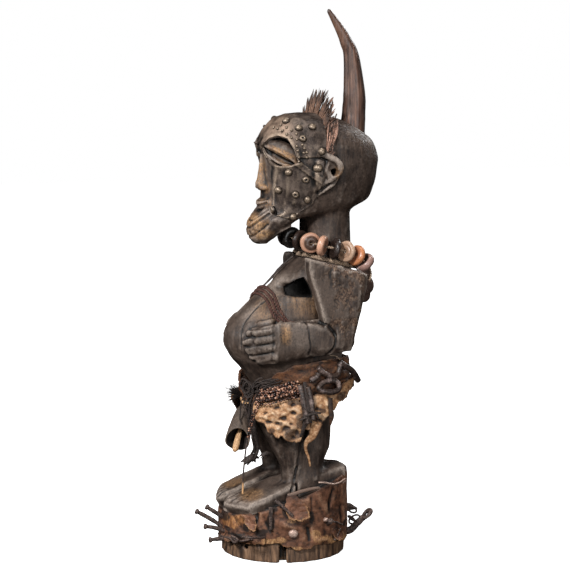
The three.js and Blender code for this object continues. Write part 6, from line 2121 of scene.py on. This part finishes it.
def creased_wrap():
    degrees = np.arange(-90, 270, WRAP_STEP)
    levels = np.linspace(0, 1, WRAP_LEVELS)
    hem = table_at(WRAP_HEM, degrees)
    edge = round_plinth(degrees, WRAP_OUT, hem)
    hem = hem + 1.8 * noise(edge, 9, 164) + 1.5 * noise(edge, 3, 165)
    rim = slope_top(WRAP_IN * np.sin(np.radians(degrees))) - 1.5 + 0.7 * noise(edge, 8, 166)
    rim = rim + table_at(WRAP_RISE, degrees)
    turn = np.repeat(degrees[:, None], len(levels), axis=1)
    height = mixed(hem[:, None], rim[:, None], levels)
    relief = wrap_relief(turn, height)
    relief = relief * eased((1.02 - levels) / 0.08)
    outer = round_plinth(turn, WRAP_IN + WRAP_THICK + relief, height)
    inner = round_plinth(turn, WRAP_IN + np.clip(relief, 0, 3) * 0.5, height)
    form = skin_of(folded(inner, outer), joined=True)
    bend = relief - blurred_rows(relief, 4)
    torn = eased(1 - levels / 0.05) * np.ones_like(turn)
    # Crests rubbed with a painted highlight; folds painted dark as shade, together with darker patches.
    masks = {
        "worn": np.clip(bend / 0.8 - 0.1, 0, 1),
        "sooty": np.maximum(np.clip(-bend / 0.7, 0, 1), 0.88 * patch_strength(turn, height, DARK_PATCHES)),
        "pale": np.maximum(patch_strength(turn, height, PALE_PATCHES), 0.4 * torn),
        "furred": patch_strength(turn, height, FUR_PATCHES),
    }
    masks = {name: folded(values, values).ravel() for name, values in masks.items()}
    piece("creased_base_wrap", form, wrap_leather(), "wrap_leather", ["base_wrap"], masks=masks)


FLAP_RINGS, FLAP_SIDES = 22, 72


def leather_flap(name, middle, level, wide, high, lift, seed):
    """A loose tongue of the leather, fixed at its upper end and curling out at its lower, pale edge."""
    r, a = np.meshgrid(np.linspace(0.02, 1, FLAP_RINGS), circle(FLAP_SIDES), indexing="ij")
    ragged = 1 + 0.09 * np.sin(3 * a + seed) + 0.05 * np.sin(7 * a + 2 * seed) + 0.03 * np.sin(17 * a)
    u, v = r * np.cos(a) * ragged, r * np.sin(a) * ragged
    u = u - 0.35 * v  # it hangs a little askew
    height = level + high * v
    degrees = middle + np.degrees(wide * u / WRAP_OUT)
    crumpled = creases(round_plinth(degrees, WRAP_OUT, height), 7, seed)
    out = 3.0 + lift * (0.5 - 0.5 * v) * (0.35 + 0.65 * r) + 0.8 * crumpled
    outer = round_plinth(degrees, WRAP_OUT - 1 + out, height)
    inner = round_plinth(degrees, WRAP_OUT - 1 + out - 1.6 * (1 - 0.35 * r), height)
    form = skin_of(np.concatenate([outer, inner[::-1]], axis=0))
    pale = eased((r - 0.8) / 0.14) * eased(0.75 - 1.2 * v)
    pale = np.concatenate([pale, pale[::-1] * 0.4], axis=0).ravel()
    # Painted shade on the flap's back face and near its fixed upper end.
    dark = np.concatenate([eased((v - 0.55) / 0.4), np.full_like(v, 0.7)], axis=0).ravel()
    piece(name, form, wrap_leather(), "wrap_leather", masks={"pale": 0.8 * pale, "sooty": 0.5 * dark})


def iron_bar(points, half, flat=1.0, sides=10, count=40, first=(0, 0, 1)):
    """A forged bar of half sizes along a curve, with uneven hammered sides."""
    path = curve_through(points, count)
    size = varied(count, np.linspace(0, 1, len(half)), half)
    return tube(path, size * (1 + 0.1 * noise(path, 5, 170)), sides, flat=flat, first=first)


def rusted_piece(name, form, *nodes, **masks):
    piece(name, form, rusted_iron(), "iron", nodes, **masks)


NAILS = {
    "nail_front_upper": ((0, -136, 67), (0, -112, 52), (0, -92, 37)),
    "nail_front_middle": ((2, -121, 73), (3, -108, 64), (2, -92, 53)),
    "nail_front_lower": ((12, -127, 46), (11, -110, 42), (11, -91, 34)),
    "nail_front_stub": ((20, -122, 27), (19, -106, 27), (18, -90, 24)),
    "nail_left": ((104, 36, 62), (95, 38, 57), (84, 38, 52)),
}


def bent_nails():
    for node, spots in NAILS.items():
        inward = unit(np.array(spots[2]) - spots[1])
        points = [*spots, np.array(spots[2]) + inward * 8]
        shaft = iron_bar(points, (2.8, 3.3, 3.3, 2.8), sides=8)
        outward = unit(np.array(spots[0]) - spots[1])
        head = tube(np.array([spots[0], np.array(spots[0]) - outward * 2.6]), 4.3, 10)
        rusted_piece(f"forged_{node}", joined_parts([shaft, head]), node)


BLADE_DEGREES, HASP_DEGREES = 78, 72
# Angle, distance and height of each ring's middle, its radius and its tilt
WIRE_RINGS = [(69, 104, 58, 5, 0.4), (75, 108, 40, 6.5, -0.5), (66, 103, 46, 4, 1.1)]


def blade_and_hasp():
    places = round_plinth(BLADE_DEGREES, *np.transpose([(80, 56), (98, 58), (106, 57), (113.5, 55)]))
    blade = iron_bar(places, (9, 9, 5.5, 1), flat=0.16, sides=12, first=(1, 0, 0))
    rusted_piece("iron_blade_leaf", blade, "iron_blade")
    places = round_plinth(HASP_DEGREES, *np.transpose([(80, 22), (100, 25), (111, 35), (121, 45)]))
    strap = iron_bar(places, (5.2, 5.4, 5.6, 4.8), flat=0.5, sides=12, first=(1, 0, 0))
    centre = round_plinth(HASP_DEGREES, WRAP_OUT + 28, 50)
    angle = circle(60)
    eye = centre + np.stack([7 * np.cos(angle), 5.6 * np.sin(angle), 5.5 * np.sin(angle)], axis=1)
    eye = tube(eye, 3.0 * (1 + 0.08 * np.sin(3 * angle)), 14, joined=True)
    rusted_piece("iron_hasp_with_eye", joined_parts([strap, eye]), "iron_hasp")
    rings = []
    for degrees, radius, height, wide, tilt in WIRE_RINGS:
        middle = round_plinth(degrees, radius, height)
        swing = np.stack([0.35 * np.cos(angle), 1.2 * np.cos(angle + tilt), np.sin(angle)], axis=1)
        rings.append(tube(middle + swing * wide, 1.5, 8, joined=True))
    rusted_piece("iron_wire_rings", joined_parts(rings))


# Wires: angle, how far out, and height
WIRE_STAPLE = [(-47, -8, 36), (-48, 12, 40), (-47, 34, 46), (-40, 36, 46), (-36, 12, 41), (-36, -8, 38)]
FRONT_CURL = [(-96, 6, 27), (-82, 9, 29), (-70, 9, 31), (-63, 11, 27), (-59, 12, 33), (-66, 12, 36),
              (-60, 9, 30), (-46, 8, 36)]
REAR_HOOK = [(12, 6, 119), (19, 7, 117), (27, 8, 113), (36, 9, 113), (42, 11, 116), (45, 10, 112),
             (41, 9, 110)]


def wires():
    places = round_places(PLINTH_RADIUS, WIRE_STAPLE)
    rusted_piece("bent_wire_staple", iron_bar(places, (1.5, 1.5), count=80), "wire_loop")
    curl = iron_bar(round_places(WRAP_IN, FRONT_CURL), (1.8, 1.7), count=90)
    rusted_piece("curled_front_wire", curl)
    hook = iron_bar(round_places(WRAP_IN, REAR_HOOK), (1.3, 1.1), count=80)
    piece("curled_rear_wire", hook, pale_iron(), "iron")


# The bar on the plinth's edge: x, y and how far above the slope
EDGE_BAR = [(82, -22, 12), (81, 4, 9.5), (80, 26, 4.5), (80, 29, -2), (82, 31, -12)]
# Name, what it stands for, angle, height and radius
PALE_TACKS = [("pale_round_tack", ["round_tack"], -11, 46, 6.5), ("small_pale_tack", [], 20, 61, 3.4)]
PALE_TACK_PROFILE = [(1, -2.4), (1.0, 0.6), (0.94, 1.6), (0.7, 2.7), (0.35, 3.4), (0.08, 3.5)]
STRIP_DEGREES = -30


def bars_and_tacks():
    places = [np.array((x, y, slope_top(y) + rise)) for x, y, rise in EDGE_BAR]
    bar = iron_bar(places, (3.0, 2.8, 2.6, 2.2, 1.6), flat=0.55, sides=12, first=(1, 0, 0))
    rusted_piece("nailed_edge_bar", bar, "edge_bar", masks={"worn": np.full(len(bar[0]), 0.8)})
    places = round_plinth(STRIP_DEGREES, WRAP_OUT + 1.6, (86, 74, 62, 52))
    strip = iron_bar(places, (3.4, 2.8, 2.6, 2.2), flat=0.5, first=round_plinth(STRIP_DEGREES, 1, 0))
    rusted_piece("iron_wrap_strip", strip, "wrap_strip")
    slant = round_places(WRAP_OUT + 4.5, ((-26, 0, 97), (-20, 0, 88), (-12, 0, 74)))
    cross = iron_bar(slant, (4.2, 4.2, 4.4), flat=0.6, sides=12)
    stub = iron_bar(round_places(WRAP_OUT + 2.2, ((37, 0, 43), (33, 0, 36), (29, 0, 28))), (2.2, 2.4, 2.6),
                    flat=0.6)
    rusted_piece("slanting_iron_strips", joined_parts([cross, stub]))
    for name, nodes, degrees, height, radius in PALE_TACKS:
        place = round_plinth(degrees, WRAP_OUT - 0.4, height)
        form = dome(place, unit(round_plinth(degrees, 1, 0)), radius, PALE_TACK_PROFILE, 28, degrees)
        piece(name, form, pale_iron(), "iron", nodes)
    rod = round_places(WRAP_OUT, ((24, 3, 59), (29, 4, 56), (41, 2, 47)))
    rusted_piece("thin_bent_rod", iron_bar(rod, (1.2, 1.2)))


creased_wrap()
leather_flap("wrap_flap_upper", -9, 84, 16, 19, 6.5, 3)
leather_flap("wrap_flap_left", -47, 62, 9, 12, 4.5, 5)
leather_flap("wrap_flap_lower", 33, 36, 12, 9, 4.5, 8)
bent_nails()
blade_and_hasp()
wires()
bars_and_tacks()


add_camera()
add_studio()
